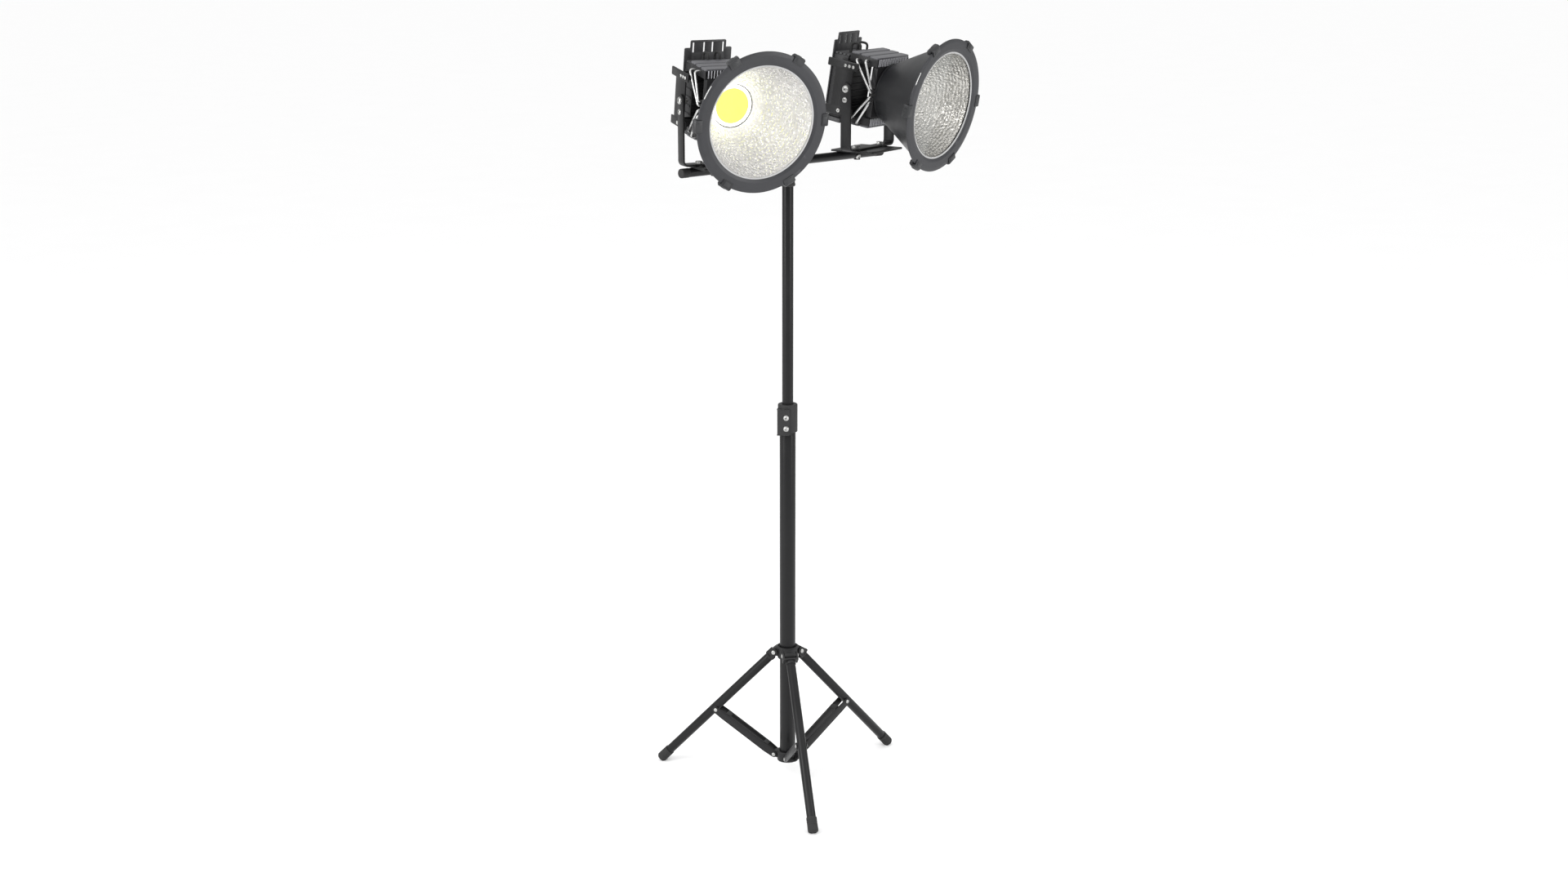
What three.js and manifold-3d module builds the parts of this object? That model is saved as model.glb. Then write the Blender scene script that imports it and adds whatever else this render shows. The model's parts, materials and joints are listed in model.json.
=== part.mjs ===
// Twin-head LED work light on a folding tripod stand.
// Millimetres, +Z up, floor at z = 0. The crossbar runs along X and the lamps face -Y.
// Each moving piece is a mesh of its own; nested groups carry the legs, yokes and heads.

import * as THREE from 'three';
import { mergeVertices } from 'three/addons/utils/BufferGeometryUtils.js';
import Module from 'manifold-3d';

const wasm = await Module();
wasm.setup();

// ---------- driving dimensions ----------

const gap = 0.3;                     // play left between pieces that touch
const fit = 0.3;                     // radial play of a pin in its hole
const sides = { lamp: 30, tube: 24, leg: 16, bolt: 12, pipe: 6 };   // facets round each circle

// where the mast axis stands, so that the whole light is centred on the origin
const mastAxis = { x: 2.95, y: -6.34 };

// mast
const lowerTube = { radius: 17.5, wall: 1.8, bottom: 62, top: 868 };
const upperTube = { radius: 12.1, wall: 1.5, bottom: 600, top: 1384 };
const clamp = { radius: 21.5, bottom: 812, top: 874 };
const clampBoss = { face: 26.5, left: -20, right: 11, bottom: 808, top: 865 };
const clampScrewHeights = { lower: 823.2, upper: 847.5 };
const clampTurn = -140;              // degrees, where the clamp's flat boss faces

// tripod: radii from the mast axis, heights above the floor
const tripodTurn = -122.4;           // degrees, azimuth of the front leg
const collarPivot = { radius: 27.5, height: 303.1 };
const hubPivot = { radius: 29.3, height: 57 };
const legSpread = 43.6;              // degrees between a leg and the mast
const strutPin = { along: 212.5, below: 5.65 };   // on the leg, from its top pivot
const legTube = { radius: 9.75, wall: 1.25, start: 14.8, end: 399.5 };
const foot = { radius: 12.3, start: 379, end: 412 };
const collarRing = { radius: 22.3, bottom: 289.5, top: 318, lugHalfWidth: 13, lugRadius: 9 };
const hubRing = { radius: 23.5, bottom: 45, top: 68, lugHalfWidth: 9.2, lugRadius: 7.5 };
const clevis = { earInner: 13.6, earOuter: 17.2, earRadius: 9 };
const clevisBlock = { start: 10.5, end: 14.5, under: 5.5, over: 12.5 };
const strut = { inner: 10.3, outer: 12.3, halfHeight: 9, hubEnd: 7, legEnd: 8, webThickness: 2 };
const strutBridges = [[24, 36], [130, 142]];       // where the channel's web is left standing

// crossbar
const bar = { radius: 9.4, wall: 1.4, left: -292, right: 276, height: 1399.9 };
const socket = { radius: 15.2, bottom: 1348, sleeveRadius: 12.2, sleeveHalfLength: 32 };

// lamp heads: swivelX and forward place the tilt axis, angles are degrees
const swivelX = 204.9;
const forward = 26.8;
const tiltHeight = 1547.3;
const tiltDown = 9.55;
const headTurn = { left: -14.7, right: 12.8 };
const basePlate = { halfWidth: 62, front: 52, rear: 56, thickness: 4, bottom: 1409.8 };
const plateSlot = { x: 48, length: 58, width: 9 };
const yoke = { outer: 88.7, thickness: 4, width: 25, cornerRadius: 12, bottom: 1414.1 };
const swivelBolt = { radius: 4.9, headRadius: 8, headHeight: 5, nutHeight: 2.5 };
const pivotBolt = { radius: 3.9, headRadius: 7.8, headEnd: 92.6 };

// inside a head, measured from the tilt axis: d forwards, z up
const cheek = { inner: 80.7, outer: 83.7, railTop: 57.5, railHeight: 17 };
const upperRail = { rear: -56.5, front: 20, straps: [-22, -5] };
const lowerRail = { rear: -48, front: 20, straps: [-22, -1] };
const cheekPlate = { rear: -35, front: 9 };
const strapThickness = 3;
const rearPlate = { halfWidth: 52.9, bottom: -48, shoulder: 89.7, top: 104.9, tabHalfWidth: 40 };
const rearPlateFront = -66;
const rearPlateThickness = 2.5;
const driverBox = { halfWidth: 50, bottom: -83, top: 67, rear: -65.7, front: -26 };
const lead = { radius: 2.4, rise: 24, fromDepth: -42, toDepth: -19.5, toHeight: 72, places: [-22, 4] };
const finBlock = { halfWidth: 62, inner: 55, outer: 77, rear: -16, front: 53.4 };
const fins = { count: 20, thickness: 2, cover: 3 };
const coldPlate = { halfWidth: 58, halfHeight: 54.7, rear: 40, front: 53.4 };
const pipe = { radius: 2.6, sideX: 74, blockDepth: 46.7, rootDepth: 54 };
const pipeRows = [                   // where each pipe leaves the block and where it ends
  { height: 10.8, endDepth: 29, endHeight: 66 },
  { height: 2.5, endDepth: 6, endHeight: 64 },
  { height: -6.5, endDepth: 15, endHeight: -60.5 },
  { height: -17.8, endDepth: 29, endHeight: -69 },
];
const shade = {
  rear: 53.8, rearRadius: 58, front: 183.2, frontRadius: 128.8, wall: 2, hole: 44, lip: 129.8,
};
const module = { base: 53.9, boardRadius: 42.8, board: 57, phosphorRadius: 39, face: 61 };
const reflector = { rear: 58.5, rearRadius: 45, front: 185, frontRadius: 113, wall: 1.5, lip: 129.8 };
const lens = { rear: 185.3, front: 188.3, radius: 129.5 };
const bezel = { radius: 142, opening: 114.3, face: 193.4, flangeRear: 189.4, flangeFront: 192.4 };
const bezelSkirt = { inner: 130.2, outer: 133.2, rear: 183.6 };
const clip = { count: 6, halfWidth: 13, rear: 178, inner: 134, outer: 148.5 };
const clipLip = { halfWidth: 11, inner: 131, outer: 146, front: 195.4 };

// ---------- materials ----------

const satinBlack = new THREE.MeshStandardMaterial({ color: 0x2c2d30, roughness: 0.45, metalness: 0.5 });
const castBlack = new THREE.MeshStandardMaterial({ color: 0x26272a, roughness: 0.6, metalness: 0.3 });
const bezelGrey = new THREE.MeshStandardMaterial({ color: 0x46474c, roughness: 0.5, metalness: 0.5 });
const finGrey = new THREE.MeshStandardMaterial({ color: 0x7d7e87, roughness: 0.45, metalness: 0.8 });
const zinc = new THREE.MeshStandardMaterial({ color: 0xc8c8c4, roughness: 0.3, metalness: 0.9 });
const pipeSilver = new THREE.MeshStandardMaterial({ color: 0xd6d6d8, roughness: 0.25, metalness: 0.9 });
const mirrorSilver = new THREE.MeshStandardMaterial({ color: 0xdadad6, roughness: 0.2, metalness: 0.9 });
const rubber = new THREE.MeshStandardMaterial({ color: 0x1b1b1c, roughness: 0.85, metalness: 0 });
const phosphor = new THREE.MeshStandardMaterial({ color: 0xf2ee7a, roughness: 0.6, metalness: 0 });
const glass = new THREE.MeshStandardMaterial({
  color: 0xf4f8f8, roughness: 0.05, metalness: 0, transparent: true, opacity: 0.3,
});

// ---------- solid helpers ----------

const degrees = THREE.MathUtils.degToRad;

function toSolid(geometry) {
  const bare = geometry.index ? geometry.clone() : geometry;
  bare.deleteAttribute('normal');
  bare.deleteAttribute('uv');
  const merged = mergeVertices(bare, 1e-4);
  return new wasm.Manifold(new wasm.Mesh({
    numProp: 3,
    vertProperties: new Float32Array(merged.attributes.position.array),
    triVerts: new Uint32Array(merged.index.array),
  }));
}

function toGeometry(solid) {
  const mesh = solid.getMesh();
  const geometry = new THREE.BufferGeometry();
  geometry.setAttribute('position', new THREE.BufferAttribute(new Float32Array(mesh.vertProperties), 3));
  geometry.setIndex(new THREE.BufferAttribute(new Uint32Array(mesh.triVerts), 1));
  return geometry;
}

function join(...geometries) {
  return toGeometry(geometries.map(toSolid).reduce((all, next) => all.add(next)));
}

function cut(geometry, ...tools) {
  return toGeometry(tools.map(toSolid).reduce((all, next) => all.subtract(next), toSolid(geometry)));
}

// a closed profile of [radius, height] pairs, anticlockwise, turned about Z
function turned(profile, segments) {
  const points = profile.map(([radius, height]) => new THREE.Vector2(radius, height));
  return new THREE.LatheGeometry(points, segments).rotateX(Math.PI / 2);
}

function ring(outer, inner, bottom, top, segments) {
  return turned([[inner, bottom], [outer, bottom], [outer, top], [inner, top], [inner, bottom]], segments);
}

function rod(radius, bottom, top, segments) {
  return turned([[0, bottom], [radius, bottom], [radius, top], [0, top]], segments);
}

// the same turned shapes with their axis along X or Y
function alongX(geometry) {
  return geometry.rotateY(Math.PI / 2);
}

function alongY(geometry) {
  return geometry.rotateX(-Math.PI / 2);
}

function box(x0, x1, y0, y1, z0, z1) {
  return new THREE.BoxGeometry(x1 - x0, y1 - y0, z1 - z0)
    .translate((x0 + x1) / 2, (y0 + y1) / 2, (z0 + z1) / 2);
}

function extrude(shape, depth, curveSegments = 6) {
  return new THREE.ExtrudeGeometry(shape, { depth, bevelEnabled: false, curveSegments });
}

// an outline in (x, z), extruded from y0 to y1
function slabXZ(shape, y0, y1, curveSegments) {
  return extrude(shape, y1 - y0, curveSegments).rotateX(Math.PI / 2).translate(0, y1, 0);
}

// an outline in (y, z), extruded from x0 to x1
function slabYZ(shape, x0, x1, curveSegments) {
  const basis = new THREE.Matrix4().makeBasis(
    new THREE.Vector3(0, 1, 0), new THREE.Vector3(0, 0, 1), new THREE.Vector3(1, 0, 0));
  return extrude(shape, x1 - x0, curveSegments).applyMatrix4(basis).translate(x0, 0, 0);
}

function polygon(points) {
  return new THREE.Shape(points.map(([x, y]) => new THREE.Vector2(x, y)));
}

function add(parent, name, geometry, material) {
  const mesh = new THREE.Mesh(geometry, material);
  mesh.name = name;
  parent.add(mesh);
  return mesh;
}

function frameAt(parent, x, y, z) {
  const frame = new THREE.Group();
  frame.position.set(x, y, z);
  parent.add(frame);
  return frame;
}

// ---------- mast ----------

function makeMast(stand) {
  const inner = lowerTube.radius - lowerTube.wall;
  add(stand, 'lower_mast_tube',
    ring(lowerTube.radius, inner, lowerTube.bottom, lowerTube.top, sides.tube), satinBlack);
  add(stand, 'upper_mast_tube',
    ring(upperTube.radius, upperTube.radius - upperTube.wall, upperTube.bottom, upperTube.top, sides.tube),
    satinBlack);
}

function makeClamp(stand) {
  const frame = frameAt(stand, 0, 0, 0);
  frame.rotation.z = degrees(clampTurn);
  const overLower = lowerTube.radius + gap;
  const overUpper = upperTube.radius + gap;
  const shoulder = lowerTube.top + gap;
  const sleeve = turned([
    [overLower, clamp.bottom], [clamp.radius, clamp.bottom], [clamp.radius, clamp.top - 7],
    [clamp.radius + 1.5, clamp.top - 6], [clamp.radius + 1.5, clamp.top - 1], [clamp.radius, clamp.top],
    [overUpper, clamp.top], [overUpper, shoulder], [overLower, shoulder], [overLower, clamp.bottom],
  ], sides.tube);
  const { face, left, right, bottom, top } = clampBoss;
  const boss = cut(
    box(0, face, left, right, bottom, top),
    rod(overLower, bottom - 5, top + 5, sides.tube));
  const screwStart = lowerTube.radius + 1;
  const holes = Object.values(clampScrewHeights).map(
    (height) => alongX(rod(2.5 + fit, 0, 40, sides.bolt)).translate(screwStart - 0.6, 0, height));
  add(frame, 'mast_clamp', cut(join(sleeve, boss), ...holes), castBlack);
  for (const [place, height] of Object.entries(clampScrewHeights)) {
    const screw = turned([
      [0, screwStart], [2.5, screwStart], [2.5, face + gap], [5, face + gap],
      [5, face + 3], [0, face + 3],
    ], sides.bolt);
    add(frame, `clamp_screw_${place}`, alongX(screw).translate(0, 0, height), zinc);
  }
}

// ---------- tripod ----------

// one lug of a collar or hub: it points along +X, slopes down from the ring's top
// and ends round about its pivot hole
function lug(pivot, ringSize, startX) {
  const { lugHalfWidth, lugRadius, radius, top } = ringSize;
  const outline = new THREE.Shape();
  outline.moveTo(startX, pivot.height - lugRadius);
  outline.lineTo(pivot.radius, pivot.height - lugRadius);
  outline.absarc(pivot.radius, pivot.height, lugRadius, -Math.PI / 2, degrees(65), false);
  outline.lineTo(radius - 2, top);
  outline.lineTo(startX, top);
  return slabXZ(outline, -lugHalfWidth, lugHalfWidth, 5);
}

function pinHole(pivot, radius) {
  return alongY(rod(radius, -30, 30, sides.bolt)).translate(pivot.radius, 0, pivot.height);
}

function legAzimuths() {
  return [0, 120, 240].map((step) => degrees(tripodTurn + step));
}

function makeThreeLugRing(stand, name, spec, pivot, bore, holeRadius) {
  const body = ring(spec.radius, bore, spec.bottom, spec.top, sides.tube);
  const lugs = legAzimuths().map((azimuth) => cut(
    lug(pivot, spec, 6), pinHole(pivot, holeRadius),
  ).rotateZ(azimuth));
  const core = rod(bore, spec.bottom - 5, spec.top + 5, sides.tube);
  add(stand, name, cut(join(body, ...lugs), core), castBlack);
}

function headedPin(radius, headRadius, inner, outer) {
  return alongY(turned([
    [0, -outer], [headRadius, -outer], [headRadius, -inner], [radius, -inner],
    [radius, inner], [headRadius, inner], [headRadius, outer], [0, outer],
  ], sides.bolt));
}

// leg pieces: x runs down the leg from its top pivot, z is the leg's upper side
function makeClevis() {
  const { earInner, earOuter, earRadius } = clevis;
  const { start, end, under, over } = clevisBlock;
  const ears = [[-earOuter, -earInner], [earInner, earOuter]].map(([y0, y1]) => {
    const outline = new THREE.Shape();
    outline.moveTo(end, -earRadius);
    outline.lineTo(end, earRadius);
    outline.lineTo(0, earRadius);
    outline.absarc(0, 0, earRadius, Math.PI / 2, -Math.PI / 2, false);
    return slabXZ(outline, y0, y1, 5);
  });
  const block = box(start, end, -earOuter, earOuter, -under, over);
  const plug = alongX(rod(legTube.radius - legTube.wall - gap, end - 1, 30, sides.leg));
  return cut(join(...ears, block, plug), alongY(rod(3 + fit, -30, 30, sides.bolt)));
}

function makeFoot(legFrame) {
  const bore = legTube.radius + gap;
  const cap = alongX(turned([
    [0, legTube.end + gap], [bore, legTube.end + gap], [bore, foot.start], [foot.radius, foot.start],
    [foot.radius, foot.end - 3], [foot.radius - 1, foot.end - 1], [foot.radius - 3, foot.end],
    [0, foot.end],
  ], sides.leg));
  legFrame.updateMatrix();
  const toLeg = legFrame.matrix.clone().invert();
  const belowFloor = box(200, 400, -60, 60, -60, 0).applyMatrix4(toLeg);
  return cut(cap, belowFloor);
}

// the strut is an open channel: x runs from the hub pivot to the leg, z is its upper side
function makeStrut(length) {
  const { inner, outer, halfHeight, hubEnd, legEnd, webThickness } = strut;
  const outline = new THREE.Shape();
  outline.absarc(0, 0, hubEnd, Math.PI / 2, -Math.PI / 2, false);
  outline.lineTo(strutBridges[0][0] - 2, -halfHeight);
  outline.lineTo(strutBridges[1][1] + 2, -halfHeight);
  outline.lineTo(length, -legEnd);
  outline.absarc(length, 0, legEnd, -Math.PI / 2, Math.PI / 2, false);
  outline.lineTo(strutBridges[1][1] + 2, halfHeight);
  outline.lineTo(strutBridges[0][0] - 2, halfHeight);
  const walls = [[-outer, -inner], [inner, outer]].map(([y0, y1]) => slabXZ(outline, y0, y1, 4));
  const bridges = strutBridges.map(([from, to]) => box(
    from, to, -outer + 0.5, outer - 0.5, halfHeight - webThickness, halfHeight));
  const rivets = [[-outer - 1.6, -outer + 0.5], [outer - 0.5, outer + 1.6]].map(
    ([y0, y1]) => alongY(rod(4.2, y0, y1, 10)).translate(length, 0, 0));
  const hole = alongY(rod(2.6 + fit, -30, 30, sides.bolt));
  return cut(join(...walls, ...bridges, ...rivets), hole);
}

function makeLegs(stand) {
  ['front', 'right', 'left'].forEach((side, index) => {
    const radial = frameAt(stand, 0, 0, 0);
    radial.rotation.z = legAzimuths()[index];

    const leg = frameAt(radial, collarPivot.radius, 0, collarPivot.height);
    leg.rotation.y = degrees(90 - legSpread);
    add(leg, `leg_clevis_${side}`, makeClevis(), castBlack);
    add(leg, `leg_tube_${side}`, alongX(ring(
      legTube.radius, legTube.radius - legTube.wall, legTube.start, legTube.end, sides.leg)), satinBlack);
    add(leg, `leg_foot_${side}`, makeFoot(leg), rubber);
    add(leg, `leg_pin_${side}`, headedPin(3, 4.8, clevis.earOuter + gap, 19.9), zinc);

    leg.updateMatrix();
    const joint = new THREE.Vector3(strutPin.along, 0, -strutPin.below).applyMatrix4(leg.matrix);
    const rise = joint.z - hubPivot.height;
    const reach = joint.x - hubPivot.radius;
    const brace = frameAt(radial, hubPivot.radius, 0, hubPivot.height);
    brace.rotation.y = -Math.atan2(rise, reach);
    add(brace, `leg_strut_${side}`, makeStrut(Math.hypot(rise, reach)), satinBlack);
    add(brace, `hub_pin_${side}`, headedPin(2.6, 4.2, strut.outer + gap, 14.4), zinc);
  });
}

// ---------- crossbar ----------

function makeCrossbar(stand) {
  const boreMast = upperTube.radius + gap;
  const boreBar = bar.radius + gap;
  const upright = ring(socket.radius, boreMast, socket.bottom, upperTube.top + gap, sides.tube);
  const roof = rod(socket.radius, upperTube.top + gap, bar.height, sides.tube);
  const { sleeveRadius, sleeveHalfLength } = socket;
  const sleeve = alongX(rod(sleeveRadius, -sleeveHalfLength, sleeveHalfLength, sides.tube))
    .translate(0, 0, bar.height);
  const barSpace = alongX(rod(boreBar, -60, 60, sides.tube)).translate(0, 0, bar.height);
  add(stand, 'crossbar_socket', cut(join(upright, roof, sleeve), barSpace), castBlack);

  const tube = alongX(ring(bar.radius, bar.radius - bar.wall, bar.left, bar.right, sides.tube))
    .translate(0, 0, bar.height);
  const boltHoles = [-swivelX, swivelX].map(
    (x) => rod(swivelBolt.radius + fit, bar.height - 20, bar.height + 20, sides.bolt).translate(x, 0, 0));
  add(stand, 'crossbar_tube', cut(tube, ...boltHoles), satinBlack);
}

// ---------- yokes ----------

function makeBasePlate() {
  const { halfWidth, front, rear, thickness, bottom } = basePlate;
  const plate = box(-halfWidth, halfWidth, -forward - front, -forward + rear, bottom, bottom + thickness);
  const slotHalf = (plateSlot.length - plateSlot.width) / 2;
  const slots = [-plateSlot.x, plateSlot.x].map((x) => {
    const outline = new THREE.Shape();
    outline.absarc(0, slotHalf, plateSlot.width / 2, 0, Math.PI, false);
    outline.absarc(0, -slotHalf, plateSlot.width / 2, Math.PI, 2 * Math.PI, false);
    return extrude(outline, 20, 4).translate(x, -forward, bottom - 8);
  });
  const hole = rod(swivelBolt.radius + fit, bottom - 5, bottom + 10, sides.bolt);
  return cut(plate, hole, ...slots);
}

function makeYoke() {
  const { outer, thickness, width, cornerRadius, bottom } = yoke;
  const inner = outer - thickness;
  const armTop = tiltHeight + width / 2;
  const innerRadius = cornerRadius - thickness;
  const outline = new THREE.Shape();
  outline.moveTo(-outer + cornerRadius, bottom);
  outline.lineTo(outer - cornerRadius, bottom);
  outline.absarc(outer - cornerRadius, bottom + cornerRadius, cornerRadius, -Math.PI / 2, 0, false);
  outline.lineTo(outer, armTop);
  outline.lineTo(inner, armTop);
  outline.lineTo(inner, bottom + cornerRadius);
  outline.absarc(inner - innerRadius, bottom + cornerRadius, innerRadius, 0, -Math.PI / 2, true);
  outline.lineTo(-inner + innerRadius, bottom + thickness);
  outline.absarc(-inner + innerRadius, bottom + cornerRadius, innerRadius, -Math.PI / 2, -Math.PI, true);
  outline.lineTo(-inner, armTop);
  outline.lineTo(-outer, armTop);
  outline.lineTo(-outer, bottom + cornerRadius);
  outline.absarc(-outer + cornerRadius, bottom + cornerRadius, cornerRadius, Math.PI, 1.5 * Math.PI, false);
  const strip = slabXZ(outline, -forward - width / 2, -forward + width / 2, 4);

  // the arms end round about the tilt axis
  const half = width / 2;
  const corners = new THREE.Shape();
  corners.moveTo(-forward - half - 1, tiltHeight);
  corners.lineTo(-forward - half, tiltHeight);
  corners.absarc(-forward, tiltHeight, half, Math.PI, 0, true);
  corners.lineTo(-forward + half + 1, tiltHeight);
  corners.lineTo(-forward + half + 1, armTop + 5);
  corners.lineTo(-forward - half - 1, armTop + 5);
  const trim = slabYZ(corners, -outer - 10, outer + 10, 6);
  const holes = alongX(rod(pivotBolt.radius + fit, -outer - 10, outer + 10, sides.bolt))
    .translate(0, -forward, tiltHeight);
  const webHoles = [-plateSlot.x, plateSlot.x].map(
    (x) => rod(4.3, bottom - 5, bottom + thickness + 5, sides.bolt).translate(x, -forward, 0));
  return cut(strip, trim, holes, ...webHoles);
}

function makeSwivelBolt() {
  const head = basePlate.bottom + basePlate.thickness + gap;
  const nut = bar.height - bar.radius - gap;
  const { radius, headRadius, headHeight, nutHeight } = swivelBolt;
  return turned([
    [0, nut - nutHeight], [headRadius, nut - nutHeight], [headRadius, nut], [radius, nut], [radius, head],
    [headRadius, head], [headRadius, head + headHeight], [0, head + headHeight],
  ], sides.bolt);
}

// ---------- lamp head, in the head's own frame: tilt axis at the origin, front towards -Y ----------

// a clockwise profile of [radius, depth] pairs turned about the optical axis
function turnedForward(profile, segments) {
  const points = profile.map(([radius, depth]) => new THREE.Vector2(radius, -depth));
  return new THREE.LatheGeometry(points, segments);
}

function boxAhead(halfWidth, depth0, depth1, z0, z1) {
  return box(-halfWidth, halfWidth, -depth1, -depth0, z0, z1);
}

function makeHeadFrame() {
  const { inner, outer, railTop, railHeight } = cheek;
  const railInner = railTop - railHeight;
  const rails = [
    { ...upperRail, z0: railInner, z1: railTop },
    { ...lowerRail, z0: -railTop, z1: -railInner },
  ];
  const cheeks = [-1, 1].flatMap((side) => {
    const [x0, x1] = side < 0 ? [-outer, -inner] : [inner, outer];
    const railPlates = rails.map(({ front, rear, z0, z1 }) => box(x0, x1, -front, -rear, z0, z1));
    const upright = box(x0, x1, -cheekPlate.front, -cheekPlate.rear, -railInner - 2, railInner + 2);
    return [...railPlates, upright];
  });
  const strapReach = finBlock.inner - gap;
  const crossStraps = rails.flatMap(({ straps, z0, z1 }) => straps.map((depth) => boxAhead(
    inner + 1, depth, depth + strapThickness, Math.max(z0, -strapReach), Math.min(z1, strapReach))));
  const holes = alongX(rod(pivotBolt.radius + fit, -100, 100, sides.bolt));
  return cut(join(...cheeks, ...crossStraps), holes);
}

function makePivotBolt(side) {
  const { radius, headRadius, headEnd } = pivotBolt;
  const armFace = yoke.outer + gap;
  const nutStart = cheek.inner - gap;
  const bolt = turned([
    [0, nutStart - 6], [headRadius - 1, nutStart - 6], [headRadius - 1, nutStart],
    [radius, nutStart], [radius, armFace], [headRadius, armFace], [headRadius, headEnd],
    [0, headEnd],
  ], sides.bolt);
  return side < 0 ? alongX(bolt).rotateZ(Math.PI) : alongX(bolt);
}

function makeRearPlate() {
  const { halfWidth, bottom, shoulder, top, tabHalfWidth } = rearPlate;
  const outline = polygon([
    [-halfWidth, bottom], [halfWidth, bottom], [halfWidth, shoulder], [tabHalfWidth, shoulder],
    [tabHalfWidth, top], [-tabHalfWidth, top], [-tabHalfWidth, shoulder], [-halfWidth, shoulder],
  ]);
  const slots = [-33.5, -9.5, 9.5, 33.5].map((x) => box(x - 2, x + 2, 50, 80, 80, 100.5));
  return cut(slabXZ(outline, -rearPlateFront, -rearPlateFront + rearPlateThickness), ...slots);
}

function makeDriverBox() {
  const { halfWidth, bottom, top, rear, front } = driverBox;
  const corner = 4;
  const outline = polygon([
    [-halfWidth + corner, bottom], [halfWidth - corner, bottom], [halfWidth, bottom + corner],
    [halfWidth, top - corner], [halfWidth - corner, top], [-halfWidth + corner, top],
    [-halfWidth, top - corner], [-halfWidth, bottom + corner],
  ]);
  return join(slabXZ(outline, -front, -rear), ...lead.places.map((x) => makeLead(x, top)));
}

// a short lead that rises from the driver and bends over to the upper fins
function makeLead(x, driverTop) {
  const { radius, rise, fromDepth, toDepth, toHeight } = lead;
  const middle = (fromDepth + toDepth) / 2;
  const path = new THREE.CatmullRomCurve3([
    new THREE.Vector3(x, -fromDepth, driverTop - 4),
    new THREE.Vector3(x, -fromDepth, driverTop + 6),
    new THREE.Vector3(x, -middle, driverTop + rise),
    new THREE.Vector3(x, -toDepth, toHeight + 8),
    new THREE.Vector3(x, -toDepth, toHeight),
  ], false, 'centripetal');
  const section = new THREE.Shape();
  section.absarc(0, 0, radius, 0, 2 * Math.PI, false);
  return new THREE.ExtrudeGeometry(section, { steps: 10, extrudePath: path, curveSegments: 4 });
}

// a comb of fins under one cover; level is +1 for the upper block and -1 for the lower one
function makeFinBlock(level) {
  const { halfWidth, inner, outer, rear, front } = finBlock;
  const pitch = (2 * halfWidth - fins.thickness) / (fins.count - 1);
  const underCover = outer - fins.cover;
  const points = [[halfWidth, outer], [-halfWidth, outer]];
  for (let index = 0; index < fins.count; index += 1) {
    const x = -halfWidth + index * pitch;
    if (index > 0) points.push([x, underCover]);
    points.push([x, inner], [x + fins.thickness, inner]);
    if (index < fins.count - 1) points.push([x + fins.thickness, underCover]);
  }
  const comb = slabXZ(polygon(points), -front, -rear);
  return level > 0 ? comb : comb.rotateY(Math.PI);
}

// one heat pipe: out of the cold plate, along the side, and in towards the fins
function makePipe(side, { height, endDepth, endHeight }) {
  const { radius, sideX, blockDepth, rootDepth } = pipe;
  const bend = 4;
  const start = new THREE.Vector3(side * (coldPlate.halfWidth - 4), -blockDepth, height);
  const lower = new THREE.Vector3(side * sideX, -rootDepth, height);
  const upper = new THREE.Vector3(side * sideX, -endDepth, endHeight);
  const end = new THREE.Vector3(side * (finBlock.halfWidth + gap), -endDepth, endHeight);
  const along = upper.clone().sub(lower).normalize();
  const inward = new THREE.Vector3(-side, 0, 0);
  const points = [
    start,
    lower.clone().addScaledVector(inward, bend),
    lower.clone().addScaledVector(along, bend),
    upper.clone().addScaledVector(along, -bend),
    upper.clone().addScaledVector(inward, bend * 0.4),
    end,
  ];
  const path = new THREE.CatmullRomCurve3(points, false, 'centripetal');
  const section = new THREE.Shape();
  section.absarc(0, 0, radius, 0, 2 * Math.PI, false);
  return new THREE.ExtrudeGeometry(section, { steps: 6, extrudePath: path, curveSegments: sides.pipe / 2 });
}

function makeHeatPipeCore() {
  const { halfWidth, halfHeight, rear, front } = coldPlate;
  const pipes = [-1, 1].flatMap((side) => pipeRows.map((row) => makePipe(side, row)));
  return join(boxAhead(halfWidth, rear, front, -halfHeight, halfHeight), ...pipes);
}

function makeShade() {
  const { rear, rearRadius, front, frontRadius, wall, hole, lip } = shade;
  return turnedForward([
    [hole, rear], [hole, rear + wall], [rearRadius - wall, rear + wall],
    [frontRadius - wall, front - wall], [frontRadius - wall, front],
    [lip, front], [lip, front - wall], [frontRadius, front - wall], [rearRadius, rear], [hole, rear],
  ], sides.lamp);
}

function makeReflector() {
  const { rear, rearRadius, front, frontRadius, wall, lip } = reflector;
  const steps = 3;
  const bowl = [];
  for (let index = 0; index <= steps; index += 1) {
    const share = index / steps;
    const squared = rearRadius ** 2 + (frontRadius ** 2 - rearRadius ** 2) * share;
    bowl.push([Math.sqrt(squared), rear + (front - rear) * share]);
  }
  const outside = bowl.map(([radius, depth]) => [radius + wall, depth]).reverse();
  outside[0] = [frontRadius + wall, front - wall];
  return turnedForward([
    ...bowl, [lip, front], [lip, front - wall], ...outside, bowl[0],
  ], sides.lamp);
}

function makeLedModule() {
  const { base, boardRadius, board, phosphorRadius, face } = module;
  return turnedForward([
    [0, face], [phosphorRadius, face], [phosphorRadius, board], [boardRadius, board],
    [boardRadius, base], [0, base],
  ], sides.tube);
}

function makeLens() {
  const { rear, front, radius } = lens;
  return turnedForward([[0, front], [radius, front], [radius, rear], [0, rear]], sides.lamp);
}

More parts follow.
